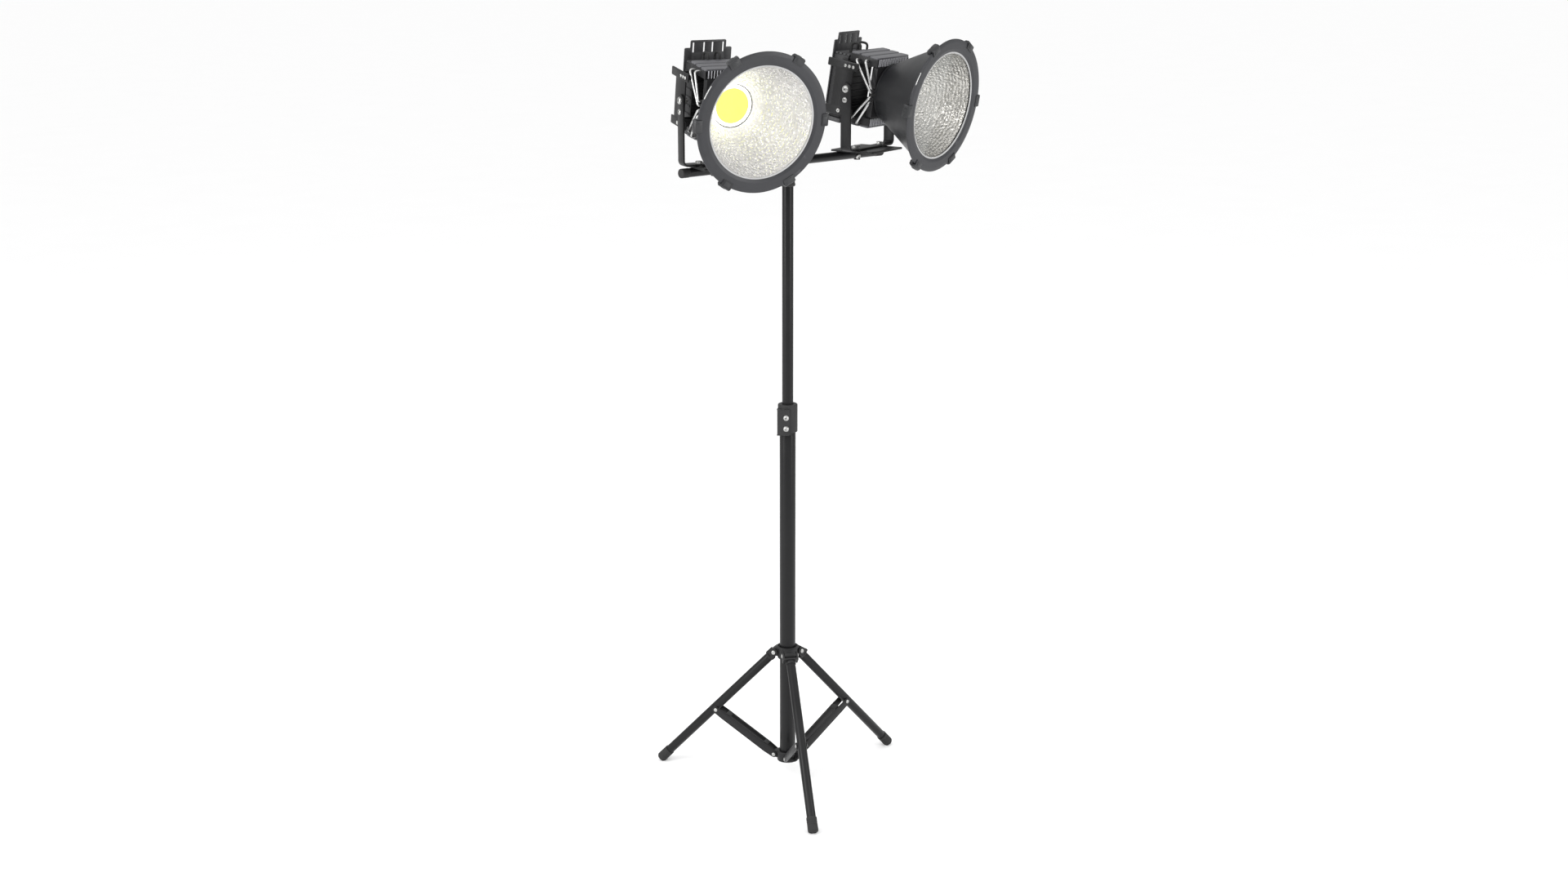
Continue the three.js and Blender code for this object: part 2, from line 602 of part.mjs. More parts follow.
function makeBezel() {
  const { radius, opening, face, flangeRear, flangeFront } = bezel;
  const seat = lens.front + gap;
  const rim = turnedForward([
    [opening, seat], [opening, face - 0.6], [opening + 4, face], [radius - 10, face],
    [radius, flangeFront], [radius, flangeRear], [bezelSkirt.outer, flangeRear],
    [bezelSkirt.outer, bezelSkirt.rear], [bezelSkirt.inner, bezelSkirt.rear],
    [bezelSkirt.inner, seat], [opening, seat],
  ], sides.lamp);
  const clips = [];
  for (let index = 0; index < clip.count; index += 1) {
    const body = box(clip.inner, clip.outer, -face, -clip.rear, -clip.halfWidth, clip.halfWidth);
    const hook = box(
      clipLip.inner, clipLip.outer, -clipLip.front, -flangeFront, -clipLip.halfWidth, clipLip.halfWidth);
    const turn = index * 2 * Math.PI / clip.count;
    clips.push(body.rotateY(turn), hook.rotateY(turn));
  }
  return join(rim, ...clips);
}

function makeHead(stand, side) {
  const sign = side === 'left' ? -1 : 1;
  const swivel = frameAt(stand, sign * swivelX, 0, 0);
  swivel.rotation.z = degrees(headTurn[side]);
  add(swivel, `base_plate_${side}`, makeBasePlate(), satinBlack);
  add(swivel, `yoke_${side}`, makeYoke(), satinBlack);
  add(swivel, `swivel_bolt_${side}`, makeSwivelBolt(), zinc);

  const head = frameAt(swivel, 0, -forward, tiltHeight);
  head.rotation.x = degrees(tiltDown);
  add(head, `head_frame_${side}`, makeHeadFrame(), satinBlack);
  add(head, `pivot_bolt_${side}_a`, makePivotBolt(-1), zinc);
  add(head, `pivot_bolt_${side}_b`, makePivotBolt(1), zinc);
  add(head, `rear_plate_${side}`, makeRearPlate(), satinBlack);
  add(head, `driver_box_${side}`, makeDriverBox(), castBlack);
  add(head, `fin_block_upper_${side}`, makeFinBlock(1), finGrey);
  add(head, `fin_block_lower_${side}`, makeFinBlock(-1), finGrey);
  add(head, `heat_pipe_core_${side}`, makeHeatPipeCore(), pipeSilver);
  add(head, `shade_${side}`, makeShade(), satinBlack);
  add(head, `led_module_${side}`, makeLedModule(), phosphor);
  add(head, `reflector_${side}`, makeReflector(), mirrorSilver);
  add(head, `lens_${side}`, makeLens(), glass);
  add(head, `bezel_${side}`, makeBezel(), bezelGrey);
}

// ---------- assembly ----------

const group = new THREE.Group();
const stand = frameAt(group, mastAxis.x, mastAxis.y, 0);
makeMast(stand);
makeClamp(stand);
makeThreeLugRing(stand, 'leg_collar', collarRing, collarPivot, lowerTube.radius + 0.5, 3 + fit);
makeThreeLugRing(stand, 'strut_hub', hubRing, hubPivot, lowerTube.radius + gap, 2.6 + fit);
makeLegs(stand);
makeCrossbar(stand);
makeHead(stand, 'left');
makeHead(stand, 'right');

export default group;
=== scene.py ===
"""Looks of a twin-head LED work light on a folding tripod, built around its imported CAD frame.

Pieces are made in millimetres in the local frame of the thing they belong to (mast, leg, strut,
yoke or head) and placed by the frame's own joints, so they follow the CAD wherever it stands.
"""

import json
import math
import random
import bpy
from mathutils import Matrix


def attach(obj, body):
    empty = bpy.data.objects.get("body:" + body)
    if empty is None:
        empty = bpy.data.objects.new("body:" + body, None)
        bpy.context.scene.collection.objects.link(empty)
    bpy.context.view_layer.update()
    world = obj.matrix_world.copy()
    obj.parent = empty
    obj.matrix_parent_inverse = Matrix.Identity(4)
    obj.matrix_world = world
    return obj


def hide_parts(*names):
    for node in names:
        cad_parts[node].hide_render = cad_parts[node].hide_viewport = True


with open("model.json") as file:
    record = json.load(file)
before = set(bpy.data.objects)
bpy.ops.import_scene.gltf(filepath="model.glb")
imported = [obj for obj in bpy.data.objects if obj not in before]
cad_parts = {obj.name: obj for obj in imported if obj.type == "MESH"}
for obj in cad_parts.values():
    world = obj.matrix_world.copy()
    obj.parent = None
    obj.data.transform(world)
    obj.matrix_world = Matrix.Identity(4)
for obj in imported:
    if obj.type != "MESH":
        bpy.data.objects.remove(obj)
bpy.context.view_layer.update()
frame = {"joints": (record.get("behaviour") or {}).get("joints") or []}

from types import SimpleNamespace as Sizes

import bmesh
import bpy
from mathutils import Matrix, Vector

MM = 0.001

# ---------- sizes in millimetres ----------
# Mostly the CAD model's own. Legs and leads are a touch thicker here, and feet slimmer.

LOWER_TUBE = Sizes(radius=17.5, inside=15.7, bottom=62, top=868)
UPPER_TUBE = Sizes(radius=12.1, inside=10.6, bottom=600, top=1384)
CLAMP = Sizes(radius=21.5, bottom=812, top=874, lower_bore=17.8, upper_bore=12.5, step=868.3)
CLAMP_BOSS = Sizes(face=26.5, left=-20, right=11, bottom=808, top=865)
CLAMP_TURN = -140
CLAMP_SCREWS = {"lower": 823.2, "upper": 847.5}

COLLAR = Sizes(radius=22.3, bottom=289.5, top=318, half_width=13, lug=9, bore=18)
HUB = Sizes(radius=23.5, bottom=45, top=68, half_width=9.2, lug=7.5, bore=17.8)
COLLAR_PIVOT = (27.5, 303.1)
HUB_PIVOT = (29.3, 57.0)
LEG_SPREAD = 43.6
STRUT_PIN_ON_LEG = (212.5, -5.65)
LEG_TUBE = Sizes(radius=10.1, inside=8.5, start=14.8, end=399.5)
FOOT = Sizes(radius=11.5, bore=10.3, start=379, end=412)
EAR = Sizes(inner=13.6, outer=17.2, radius=9)
STRUT = Sizes(inner=10.3, outer=12.3, half=9, hub_end=7, leg_end=8)
STRUT_BRIDGES = ((24, 36), (130, 142))

BAR = Sizes(radius=9.4, inside=8.0, left=-292, right=276, height=1399.9)
BAR_BOLT = Sizes(x=200, turn=28)
SOCKET = Sizes(radius=15.2, bottom=1348, sleeve=12.2, sleeve_half=32)

FORWARD = 26.8
TILT_HEIGHT = 1547.3
TILT_DOWN = 9.55
PLATE = Sizes(half=62, front=78.8, rear=29.2, bottom=1409.8, top=1413.8)
YOKE = Sizes(outer=88.7, thick=4, width=25, bend=12, bottom=1414.1)
WEB_BOLT_X = 48
LOCK_BOLT = Sizes(back=2, below=23)

CHEEK = Sizes(inner=80.7, outer=83.7, rear=-20, web_rear=-9, web_front=35, low_front=48,
              high_front=56.5, rail_inner=40.5, rail_outer=57.5)
STRAP = Sizes(half=82, thick=3, outer=54.7, upper=(-22, -5), lower=(-22, -1))
REAR_PLATE = Sizes(half=52.9, bottom=-48, shoulder=89.7, crown_half=40, top=104.9,
                   front=66, rear=68.5)

FIN = Sizes(half=62, inner=55, outer=77, rear=-16, front=53.4, count=20, thick=2.4)
BLOCK = Sizes(half=58, height=54.6, rear=40, front=53.4)
DRIVER = Sizes(half=50, bottom=-83, top=67, rear=-65.7, front=-26, tray=10, case=14)
LEAD_ROUTE = Sizes(radius=2.6, x=(-22, 4), start_y=42, end_y=19.5, rise=21, end=72)
HEAT_PIPE = Sizes(radius=2.6, block_x=54, side_x=74, tip_x=60, start=47.5, bend=54)
# Where each pipe leaves the block, and the depth and height of its far end.
PIPE_ROWS = ((10.8, 29, 66), (2.5, 6, 64), (-6.5, 15, -60.5), (-17.8, 29, -69))
SHADE = Sizes(rear=53.8, rear_radius=58, front=183.2, front_radius=128.8, lip=129.8)
BEZEL = Sizes(radius=142, opening=114.3, face=193.4, flange_rear=189.4)
SKIRT = Sizes(inner=130.2, outer=133.2, rear=183.6)
REFLECTOR = Sizes(rear=58.5, rear_radius=45, front=185, front_radius=113, lip=129.8)
DIMPLE_SEEDS = {"left": 7, "right": 11}
DIMPLES = Sizes(rows=20, columns=76, depth=1.15, shift=0.17, steps_down=132, steps_round=480)
LED = Sizes(face=36.2, face_hole=37.0, base=42.0, board=42.8, rear=53.9)
# A short bright wire on the bezel's back edge: a painted highlight where that edge catches the light.
HIGHLIGHT_WIRE = Sizes(radius=1.0, around=140.6, depth=192.2, start=146, step=1.15, count=11)

DIMPLES_PER_METRE = 165

LEGS = ("front", "right", "left")
HEADS = ("left", "right")

# ---------- local frames ----------

joints = {joint["name"]: joint for joint in frame["joints"]}
MAST_X, MAST_Y = joints["crossbar_turn"]["pos_m"][:2]


def frame_at(origin, x_axis, y_axis):
    """The matrix that takes millimetres in a local frame to metres in the part's frame."""
    x = Vector(x_axis).normalized()
    y = Vector(y_axis).normalized()
    turn = Matrix((x, y, x.cross(y))).transposed().to_4x4()
    return Matrix.Translation(Vector(origin)) @ turn @ Matrix.Scale(MM, 4)


def mast_frame(turn=0.0):
    angle = math.radians(turn)
    x_axis = (math.cos(angle), math.sin(angle), 0)
    return frame_at((MAST_X, MAST_Y, 0), x_axis, (-x_axis[1], x_axis[0], 0))


def radial_frame(side):
    """X points out from the mast towards one leg."""
    tangent = Vector(joints[f"leg_fold_{side}"]["axis"])
    return frame_at((MAST_X, MAST_Y, 0), tangent.cross(Vector((0, 0, 1))), tangent)


def leg_frame(side):
    """X runs down the leg from its collar pivot, Z is the leg's upper side."""
    tip = Matrix.Rotation(math.radians(90 - LEG_SPREAD), 4, "Y")
    return radial_frame(side) @ Matrix.Translation((COLLAR_PIVOT[0], 0, COLLAR_PIVOT[1])) @ tip


def strut_span():
    """The strut's length and its angle above the horizontal, in millimetres and radians."""
    spread = math.radians(LEG_SPREAD)
    along, across = STRUT_PIN_ON_LEG
    reach = COLLAR_PIVOT[0] + along * math.sin(spread) + across * math.cos(spread)
    rise = COLLAR_PIVOT[1] - along * math.cos(spread) + across * math.sin(spread)
    reach -= HUB_PIVOT[0]
    rise -= HUB_PIVOT[1]
    return math.hypot(reach, rise), math.atan2(rise, reach)


def strut_frame(side):
    """X runs from the hub pivot to the leg, Z is the strut's upper side."""
    tip = Matrix.Rotation(-strut_span()[1], 4, "Y")
    return radial_frame(side) @ Matrix.Translation((HUB_PIVOT[0], 0, HUB_PIVOT[1])) @ tip


def yoke_frame(side):
    """On the floor under the swivel bolt, turned with the yoke; the lamp faces -Y."""
    across = Vector(joints[f"head_tilt_{side}"]["axis"])
    x, y = joints[f"yoke_swivel_{side}"]["pos_m"][:2]
    return frame_at((x, y, 0), across, (-across[1], across[0], 0))


def head_frame(side):
    """On the tilt axis, tilted with the lamp."""
    tilt = Matrix.Rotation(math.radians(TILT_DOWN), 4, "X")
    return yoke_frame(side) @ Matrix.Translation((0, -FORWARD, TILT_HEIGHT)) @ tilt


# ---------- outlines ----------

def arc(x, y, radius, start, end, steps=10):
    """Points on a circle's arc, from start to end degrees."""
    angles = [math.radians(start + (end - start) * i / steps) for i in range(steps + 1)]
    return [(x + radius * math.cos(a), y + radius * math.sin(a)) for a in angles]


def rounded(points, radius, steps=4):
    """A closed outline with rounded corners. A third number in a point is its own radius."""
    outline = []
    count = len(points)
    for i, point in enumerate(points):
        corner = Vector(point[:2])
        before = Vector(points[i - 1][:2]) - corner
        after = Vector(points[(i + 1) % count][:2]) - corner
        r = point[2] if len(point) > 2 else radius
        half = before.angle(after) / 2 if before.length and after.length else math.pi / 2
        if r <= 0 or abs(half - math.pi / 2) < 0.01:
            outline.append(tuple(corner))
            continue
        cut = min(r / math.tan(half), before.length * 0.49, after.length * 0.49)
        r = cut * math.tan(half)
        middle = corner + (before.normalized() + after.normalized()).normalized() * r / math.sin(half)
        start = corner + before.normalized() * cut - middle
        end = corner + after.normalized() * cut - middle
        sweep = start.angle_signed(end)
        for k in range(steps + 1):
            turn = -sweep * k / steps
            spoke = Matrix.Rotation(turn, 2) @ start
            outline.append(tuple(middle + spoke))
    return outline


def rectangle(x0, x1, y0, y1, radius=0.0, steps=4):
    return rounded([(x0, y0), (x1, y0), (x1, y1), (x0, y1)], radius, steps)


def slot_outline(x, y, length, width):
    """A slot with round ends, running along y."""
    half = (length - width) / 2
    return arc(x, y + half, width / 2, 0, 180) + arc(x, y - half, width / 2, 180, 360)


# ---------- solids: each is a list of points and a list of faces ----------

def loft(rings, closed=False):
    """Joins rings that have the same number of points. Unclosed ends get a flat cap."""
    size = len(rings[0])
    points = [Vector(p) for ring in rings for p in ring]
    faces = []
    for k in range(len(rings) if closed else len(rings) - 1):
        a = k * size
        b = ((k + 1) % len(rings)) * size
        for i in range(size):
            j = (i + 1) % size
            faces.append((a + i, a + j, b + j, b + i))
    if not closed:
        faces.append(tuple(reversed(range(size))))
        faces.append(tuple(range(len(points) - size, len(points))))
    return points, faces


def circle_ring(radius, height, count):
    angles = [2 * math.pi * i / count for i in range(count)]
    return [(radius * math.cos(a), radius * math.sin(a), height) for a in angles]


def hex_ring(apothem, height, count, limit=1e9):
    """A hexagon's ring, cut back to a circle of radius limit where that is smaller."""
    ring = []
    for i in range(count):
        a = 2 * math.pi * i / count
        local = (a + math.pi / 6) % (math.pi / 3) - math.pi / 6
        radius = min(apothem / math.cos(local), limit)
        ring.append((radius * math.cos(a), radius * math.sin(a), height))
    return ring


def turned(profile, count=96):
    """An outline of (radius, height) points turned about Z."""
    return loft([circle_ring(max(r, 0.0), z, count) for r, z in profile], closed=True)


def tube(radius, inside, bottom, top, edge=0.4, count=96):
    return turned(rectangle(inside, radius, bottom, top, edge, 3), count)


def disc(radius, bottom, top, edge=0.6, count=64):
    profile = [(0, bottom, 0), (radius, bottom, edge), (radius, top, edge), (0, top, 0)]
    return turned(rounded(profile, 0), count)


def slab(outlines, low, high, edge=0.5):
    """A plate with rounded edges: the first outline is its rim and the others are holes."""
    curve = bpy.data.curves.new("outline", "CURVE")
    curve.dimensions = "2D"
    curve.fill_mode = "BOTH"
    curve.extrude = (high - low) / 2 - edge
    curve.bevel_depth = edge
    curve.bevel_resolution = 1
    curve.offset = -edge
    for outline in outlines:
        spline = curve.splines.new("POLY")
        spline.points.add(len(outline) - 1)
        for point, (u, v) in zip(spline.points, outline):
            point.co = (u, v, 0, 1)
        spline.use_cyclic_u = True
    holder = bpy.data.objects.new("outline", curve)
    bpy.context.scene.collection.objects.link(holder)
    mesh = bpy.data.meshes.new_from_object(holder)
    middle = Vector((0, 0, (low + high) / 2))
    points = [v.co + middle for v in mesh.vertices]
    faces = [tuple(p.vertices) for p in mesh.polygons]
    bpy.data.objects.remove(holder)
    bpy.data.curves.remove(curve)
    bpy.data.meshes.remove(mesh)
    return points, faces


def turned_to(part, matrix):
    points, faces = part
    return [matrix @ p for p in points], faces


def slab_x(outlines, x0, x1, edge=0.5):
    """A plate across X, from outlines in (y, z)."""
    return turned_to(slab(outlines, x0, x1, edge), Matrix(((0, 0, 1), (1, 0, 0), (0, 1, 0))))


def slab_y(outlines, y0, y1, edge=0.5):
    """A plate across Y, from outlines in (x, z)."""
    return turned_to(slab(outlines, -y1, -y0, edge), Matrix(((1, 0, 0), (0, 0, -1), (0, 1, 0))))


def along_x(part):
    """Turns Z to X."""
    return turned_to(part, Matrix.Rotation(math.pi / 2, 3, "Y"))


def along_y(part):
    """Turns Z to Y."""
    return turned_to(part, Matrix.Rotation(-math.pi / 2, 3, "X"))


def ahead(part):
    """Turns Z to -Y, the way a lamp faces."""
    return turned_to(part, Matrix.Rotation(math.pi / 2, 3, "X"))


def moved(part, x=0.0, y=0.0, z=0.0):
    points, faces = part
    offset = Vector((x, y, z))
    return [p + offset for p in points], faces


def flipped(part):
    """Turned half round about Z."""
    return turned_to(part, Matrix.Rotation(math.pi, 3, "Z"))


def downward(part):
    """Turned over, so that what pointed up points down."""
    return turned_to(part, Matrix.Rotation(math.pi, 3, "X"))


def mirrored_all(parts, x=1, z=1):
    """Mirror images of parts, across X or Z where the sign is negative."""
    return [turned_to(part, Matrix.Diagonal((x, 1, z))) for part in parts]


def block(x0, x1, y0, y1, z0, z1, corner=0.6, edge=0.5):
    return slab([rectangle(x0, x1, y0, y1, corner, 3)], z0, z1, edge)


def bent_path(points, radius, steps=5):
    """A polyline in space with its corners rounded."""
    path = [Vector(points[0])]
    for before, corner, after in zip(points, points[1:], points[2:]):
        corner = Vector(corner)
        back = Vector(before) - corner
        on = Vector(after) - corner
        cut = min(radius, back.length * 0.48, on.length * 0.48)
        start = corner + back.normalized() * cut
        end = corner + on.normalized() * cut
        for k in range(steps + 1):
            t = k / steps
            path.append(start * (1 - t) ** 2 + corner * 2 * t * (1 - t) + end * t ** 2)
    path.append(Vector(points[-1]))
    return path


def rod_along(path, radius, count=16):
    """A round rod along a path, with slightly rounded ends."""
    rings = []
    normal = None
    last = len(path) - 1
    for i, point in enumerate(path):
        ahead_point = path[min(i + 1, last)]
        behind = path[max(i - 1, 0)]
        tangent = (ahead_point - behind).normalized()
        if normal is None:
            normal = tangent.orthogonal().normalized()
        normal = (normal - tangent * normal.dot(tangent)).normalized()
        other = tangent.cross(normal)
        angles = [2 * math.pi * k / count for k in range(count)]
        spokes = [normal * math.cos(a) + other * math.sin(a) for a in angles]
        if i == 0:
            rings.append([point + s * radius * 0.7 for s in spokes])
            point = point + tangent * radius * 0.25
        if i == last:
            rings.append([point - tangent * radius * 0.25 + s * radius for s in spokes])
            rings.append([point + s * radius * 0.7 for s in spokes])
        else:
            rings.append([point + s * radius for s in spokes])
    return loft(rings)


# ---------- fasteners, standing on z = 0 and pointing up ----------

def button_screw(radius, height, socket, count=48):
    """A domed head with a hexagon socket."""
    top = [(radius * math.cos(a), height * (0.35 + 0.65 * math.sin(a)))
           for a in [math.radians(d) for d in (10, 30, 50, 65)]]
    rings = [circle_ring(0.001, 0, count), circle_ring(radius, 0, count)]
    rings += [circle_ring(r, z, count) for r, z in top if r > socket * 1.25]
    rings += [circle_ring(socket * 1.25, height, count), hex_ring(socket, height - 0.05, count)]
    rings += [hex_ring(socket * 0.96, height * 0.35, count), circle_ring(0.001, height * 0.2, count)]
    return loft(rings, closed=True)


def hex_head(apothem, height, count=48):
    """A plain hexagon head with a chamfered top and a shallow dish."""
    wide = apothem / math.cos(math.pi / 6)
    return loft([
        circle_ring(0.001, 0, count), hex_ring(apothem, 0, count, wide * 0.985),
        hex_ring(apothem, height * 0.78, count, wide * 0.985), hex_ring(apothem, height, count, apothem),
        circle_ring(apothem * 0.86, height, count), circle_ring(apothem * 0.8, height * 0.93, count),
        circle_ring(0.001, height * 0.9, count),
    ], closed=True)


def washer(radius, hole, height):
    return tube(radius, hole, 0, height, 0.25, 48)


def rivet(radius, height):
    dome = [(radius * math.cos(a), height * (0.3 + 0.7 * math.sin(a)))
            for a in [math.radians(d) for d in (0, 20, 40, 60, 78)]]
    return turned([(0, 0), (radius, 0)] + dome + [(0, height)], 32)


# ---------- materials ----------

class Finish:
    """A new material, and the nodes that drive its shader."""

    def __init__(self, name):
        self.material = bpy.data.materials.new(name)
        self.material.use_nodes = True
        self.nodes = self.material.node_tree.nodes
        self.links = self.material.node_tree.links
        self.shader = self.nodes["Principled BSDF"]

    def node(self, kind, **values):
        """A node with some of its inputs set."""
        node = self.nodes.new(f"ShaderNode{kind}")
        for name, value in values.items():
            node.inputs[name.replace("_", " ")].default_value = value
        return node

    def drive(self, name, source):
        """Lets another node's output drive one of the shader's inputs."""
        self.links.new(source, self.shader.inputs[name])

    def set(self, name, value):
        self.shader.inputs[name].default_value = value

    def in_object_space(self, kind, **values):
        """A texture in object space, its scale in features per metre."""
        texture = self.node(kind, **values)
        place = self.node("TexCoord")
        self.links.new(place.outputs["Object"], texture.inputs["Vector"])
        return texture

    def noise(self, scale, detail, rough=0.55):
        texture = self.in_object_space("TexNoise", Scale=scale, Detail=detail, Roughness=rough)
        return texture.outputs["Fac"]

    def cells(self, scale, **values):
        return self.in_object_space("TexVoronoi", Scale=scale, **values).outputs["Distance"]

    def pointiness(self):
        return self.node("NewGeometry").outputs["Pointiness"]

    def spread(self, source, low, high, from_low=0.3, from_high=0.7):
        """Maps a value to a range."""
        node = self.node("MapRange", From_Min=from_low, From_Max=from_high, To_Min=low, To_Max=high)
        self.links.new(source, node.inputs["Value"])
        return node.outputs["Result"]

    def mixed(self, factor, first, second):
        """Mixes two colours, given as sockets or as numbers."""
        node = self.node("Mix")
        node.data_type = "RGBA"
        self.links.new(factor, node.inputs["Factor"])
        for value, socket in ((first, node.inputs[6]), (second, node.inputs[7])):
            if isinstance(value, tuple):
                socket.default_value = (*value, 1)
            else:
                self.links.new(value, socket)
        return node.outputs[2]

    def bump(self, height, strength, distance):
        node = self.node("Bump", Strength=strength, Distance=distance)
        self.links.new(height, node.inputs["Height"])
        self.drive("Normal", node.outputs["Normal"])


def scaled(color, share, offset=0.0):
    """A colour made darker or lighter by a share, and then by an offset."""
    return tuple(min(1, c * share + offset) for c in color)


def painted(name, color, rough, grain, depth, edge_wear_and_highlight, shine, bend=1.5):
    """Paint or moulded plastic: fine orange peel, uneven tone, and edges painted lighter, as worn paint
    and as a painted highlight where they catch the light.

    Shine is the specular level, and bend is the index of refraction."""
    finish = Finish(name)
    broad = finish.noise(14, 4)
    fine = finish.noise(grain, 2)
    tone = finish.mixed(finish.spread(broad, 0, 1), scaled(color, 0.84), scaled(color, 1.16))
    # Lighter on the most pointed edges: worn paint, and a painted highlight.
    worn_and_lit_edges = finish.spread(finish.pointiness(), 0, edge_wear_and_highlight, 0.53, 0.62)
    finish.drive("Base Color", finish.mixed(worn_and_lit_edges, tone, scaled(color, 2.2, 0.04)))
    finish.drive("Roughness", finish.spread(broad, rough - 0.06, rough + 0.08))
    finish.bump(fine, 0.5, depth)
    finish.set("Specular IOR Level", shine)
    finish.set("IOR", bend)
    return finish.material


def bright_metal(name, color, rough, grain):
    """Plated or bare metal with fine marks and a little uneven tarnish."""
    finish = Finish(name)
    marks = finish.noise(grain, 3, 0.6)
    tarnish = finish.spread(finish.noise(45, 3), 0, 1)
    finish.drive("Base Color", finish.mixed(tarnish, scaled(color, 0.8), color))
    finish.drive("Roughness", finish.spread(marks, rough - 0.06, rough + 0.1))
    finish.bump(marks, 0.4, 0.00006)
    finish.set("Metallic", 1.0)
    return finish.material


def add_painted_glow(finish, lamp, glow):
    """Painted light: emission on the reflector that falls away from the lamp's middle, between two
    distances in metres, standing in for the lit LED's light on the bowl.
    """
    near, far, far_glow = 0.046, 0.072, 0.03
    away = finish.in_object_space("VectorMath")
    away.operation = "DISTANCE"
    away.inputs[1].default_value = lamp
    finish.set("Emission Color", (1.0, 0.985, 0.94, 1))
    finish.drive("Emission Strength", finish.spread(away.outputs["Value"], glow, far_glow, near, far))


def hammered(name, color, rough, ridge_shade_share, lamp=None, glow=0.0):
    """Bright metal beaten all over with small dimples. Painted shade darkens each hollow towards its rim,
    and most of all on the raised lines between, in place of the changing reflections of the beaten
    surface.
    """
    finish = Finish(name)
    cells = finish.cells(DIMPLES_PER_METRE, Randomness=0.8)
    # Painted shade: darkest on the most pointed edges, and darker towards each hollow's rim.
    ridge_shade_mask = finish.spread(finish.pointiness(), 0, 1, 0.505, 0.56)
    dimple_shade_mask = finish.spread(cells, 1, 0.2, 0.1, 0.6)
    tone = finish.mixed(dimple_shade_mask, scaled(color, ridge_shade_share + 0.1), color)
    finish.drive("Base Color", finish.mixed(ridge_shade_mask, tone, scaled(color, ridge_shade_share)))
    finish.drive("Roughness", finish.spread(cells, rough, rough + 0.2, 0, 0.7))
    if lamp:
        add_painted_glow(finish, lamp, glow)
    finish.bump(cells, 0.9, 0.0012)
    finish.set("Metallic", 1.0)
    return finish.material


def rubber(name, color):
    finish = Finish(name)
    clouds = finish.noise(60, 4)
    dusty = finish.mixed(finish.spread(clouds, 0, 0.7), color, scaled(color, 1.7, 0.004))
    finish.drive("Base Color", dusty)
    finish.drive("Roughness", finish.spread(clouds, 0.7, 0.9))
    finish.bump(finish.noise(1600, 2), 0.5, 0.0002)
    return finish.material


def glowing(name, color, light, strength, grain):
    """A grainy face that gives its own light: the LED's phosphor, and the board round it, whose glow is
    painted light.
    """
    finish = Finish(name)
    grains = finish.cells(grain)
    finish.drive("Base Color", finish.mixed(grains, color, scaled(color, 1.06)))
    finish.bump(grains, 0.3, 0.0002)
    finish.drive("Roughness", finish.spread(grains, 0.45, 0.65, 0, 1))
    finish.set("Emission Color", (*light, 1))
    finish.set("Emission Strength", strength)
    return finish.material


def clear_glass(name):
    """Thin glass: see-through, with a reflection that grows towards the edge and faint dust."""
    finish = Finish(name)
    finish.set("Base Color", (0.9, 0.93, 0.94, 1))
    finish.set("Specular IOR Level", 0.5)
    finish.drive("Roughness", finish.spread(finish.noise(220, 4), 0.02, 0.08))
    through = finish.node("BsdfTransparent", Color=(0.99, 0.985, 0.975, 1))
    edge = finish.node("LayerWeight", Blend=0.12)
    mix = finish.node("MixShader")
    finish.links.new(finish.spread(edge.outputs["Fresnel"], 0.01, 0.14, 0, 1), mix.inputs["Fac"])
    finish.links.new(through.outputs["BSDF"], mix.inputs[1])
    finish.links.new(finish.shader.outputs["BSDF"], mix.inputs[2])
    finish.links.new(mix.outputs["Shader"], finish.nodes["Material Output"].inputs["Surface"])
    return finish.material


TUBE = painted("tube_black", (0.009, 0.009, 0.0095),
               rough=0.35, grain=700, depth=0.00006, edge_wear_and_highlight=0.2, shine=0.5, bend=1.3)
MOULDED = painted("moulded_black", (0.013, 0.013, 0.0135),
                  rough=0.45, grain=1100, depth=0.00012, edge_wear_and_highlight=0.3, shine=0.45, bend=1.34)
BRACKET = painted("bracket_black", (0.0085, 0.0085, 0.009),
                  rough=0.42, grain=850, depth=0.0001, edge_wear_and_highlight=0.3, shine=0.28)
# Lighter than the bracket black: painted light on the rear plate, whose tone changes with how the light
# falls on it, and on the driver's beads and tray.
LIT_PLATE_PAINT = painted("plate_black_lit", (0.03, 0.03, 0.032),
                      rough=0.42, grain=850, depth=0.0001, edge_wear_and_highlight=0.4, shine=0.4)
CAST = painted("cast_black", (0.022, 0.022, 0.0225),
               rough=0.5, grain=600, depth=0.0002, edge_wear_and_highlight=0.35, shine=0.45, bend=1.36)
SHADE_PAINT = painted("shade_black", (0.012, 0.0125, 0.014),
                      rough=0.4, grain=800, depth=0.00008, edge_wear_and_highlight=0.3, shine=0.32)
BEZEL_PAINT = painted("bezel_grey", (0.024, 0.0245, 0.028),
                      rough=0.4, grain=800, depth=0.0001, edge_wear_and_highlight=0.35, shine=0.4)
# The clips' edges are made much lighter: a painted highlight where they catch the light.
CLIP_PAINT = painted("clip_grey", (0.014, 0.0145, 0.016),
                     rough=0.42, grain=800, depth=0.0001, edge_wear_and_highlight=0.9, shine=0.36)
DRIVER_PAINT = painted("driver_housing", (0.009, 0.009, 0.01),
                       rough=0.45, grain=900, depth=0.00012, edge_wear_and_highlight=0.4, shine=0.35)
# A gasket coloured light grey: painted highlight for the light caught at the lens opening's edge.
SEAL_HIGHLIGHT = painted("lens_seal_highlight", (0.42, 0.42, 0.42), rough=0.5, grain=900, depth=0.0001, edge_wear_and_highlight=0.2, shine=0.3)
RUBBER = rubber("rubber_black", (0.011, 0.011, 0.011))
LEAD = rubber("lead_black", (0.008, 0.008, 0.008))
ZINC = bright_metal("zinc_plated", (0.5, 0.5, 0.49), 0.4, 1500)
PIPE = bright_metal("pipe_nickel", (0.56, 0.56, 0.555), 0.34, 900)
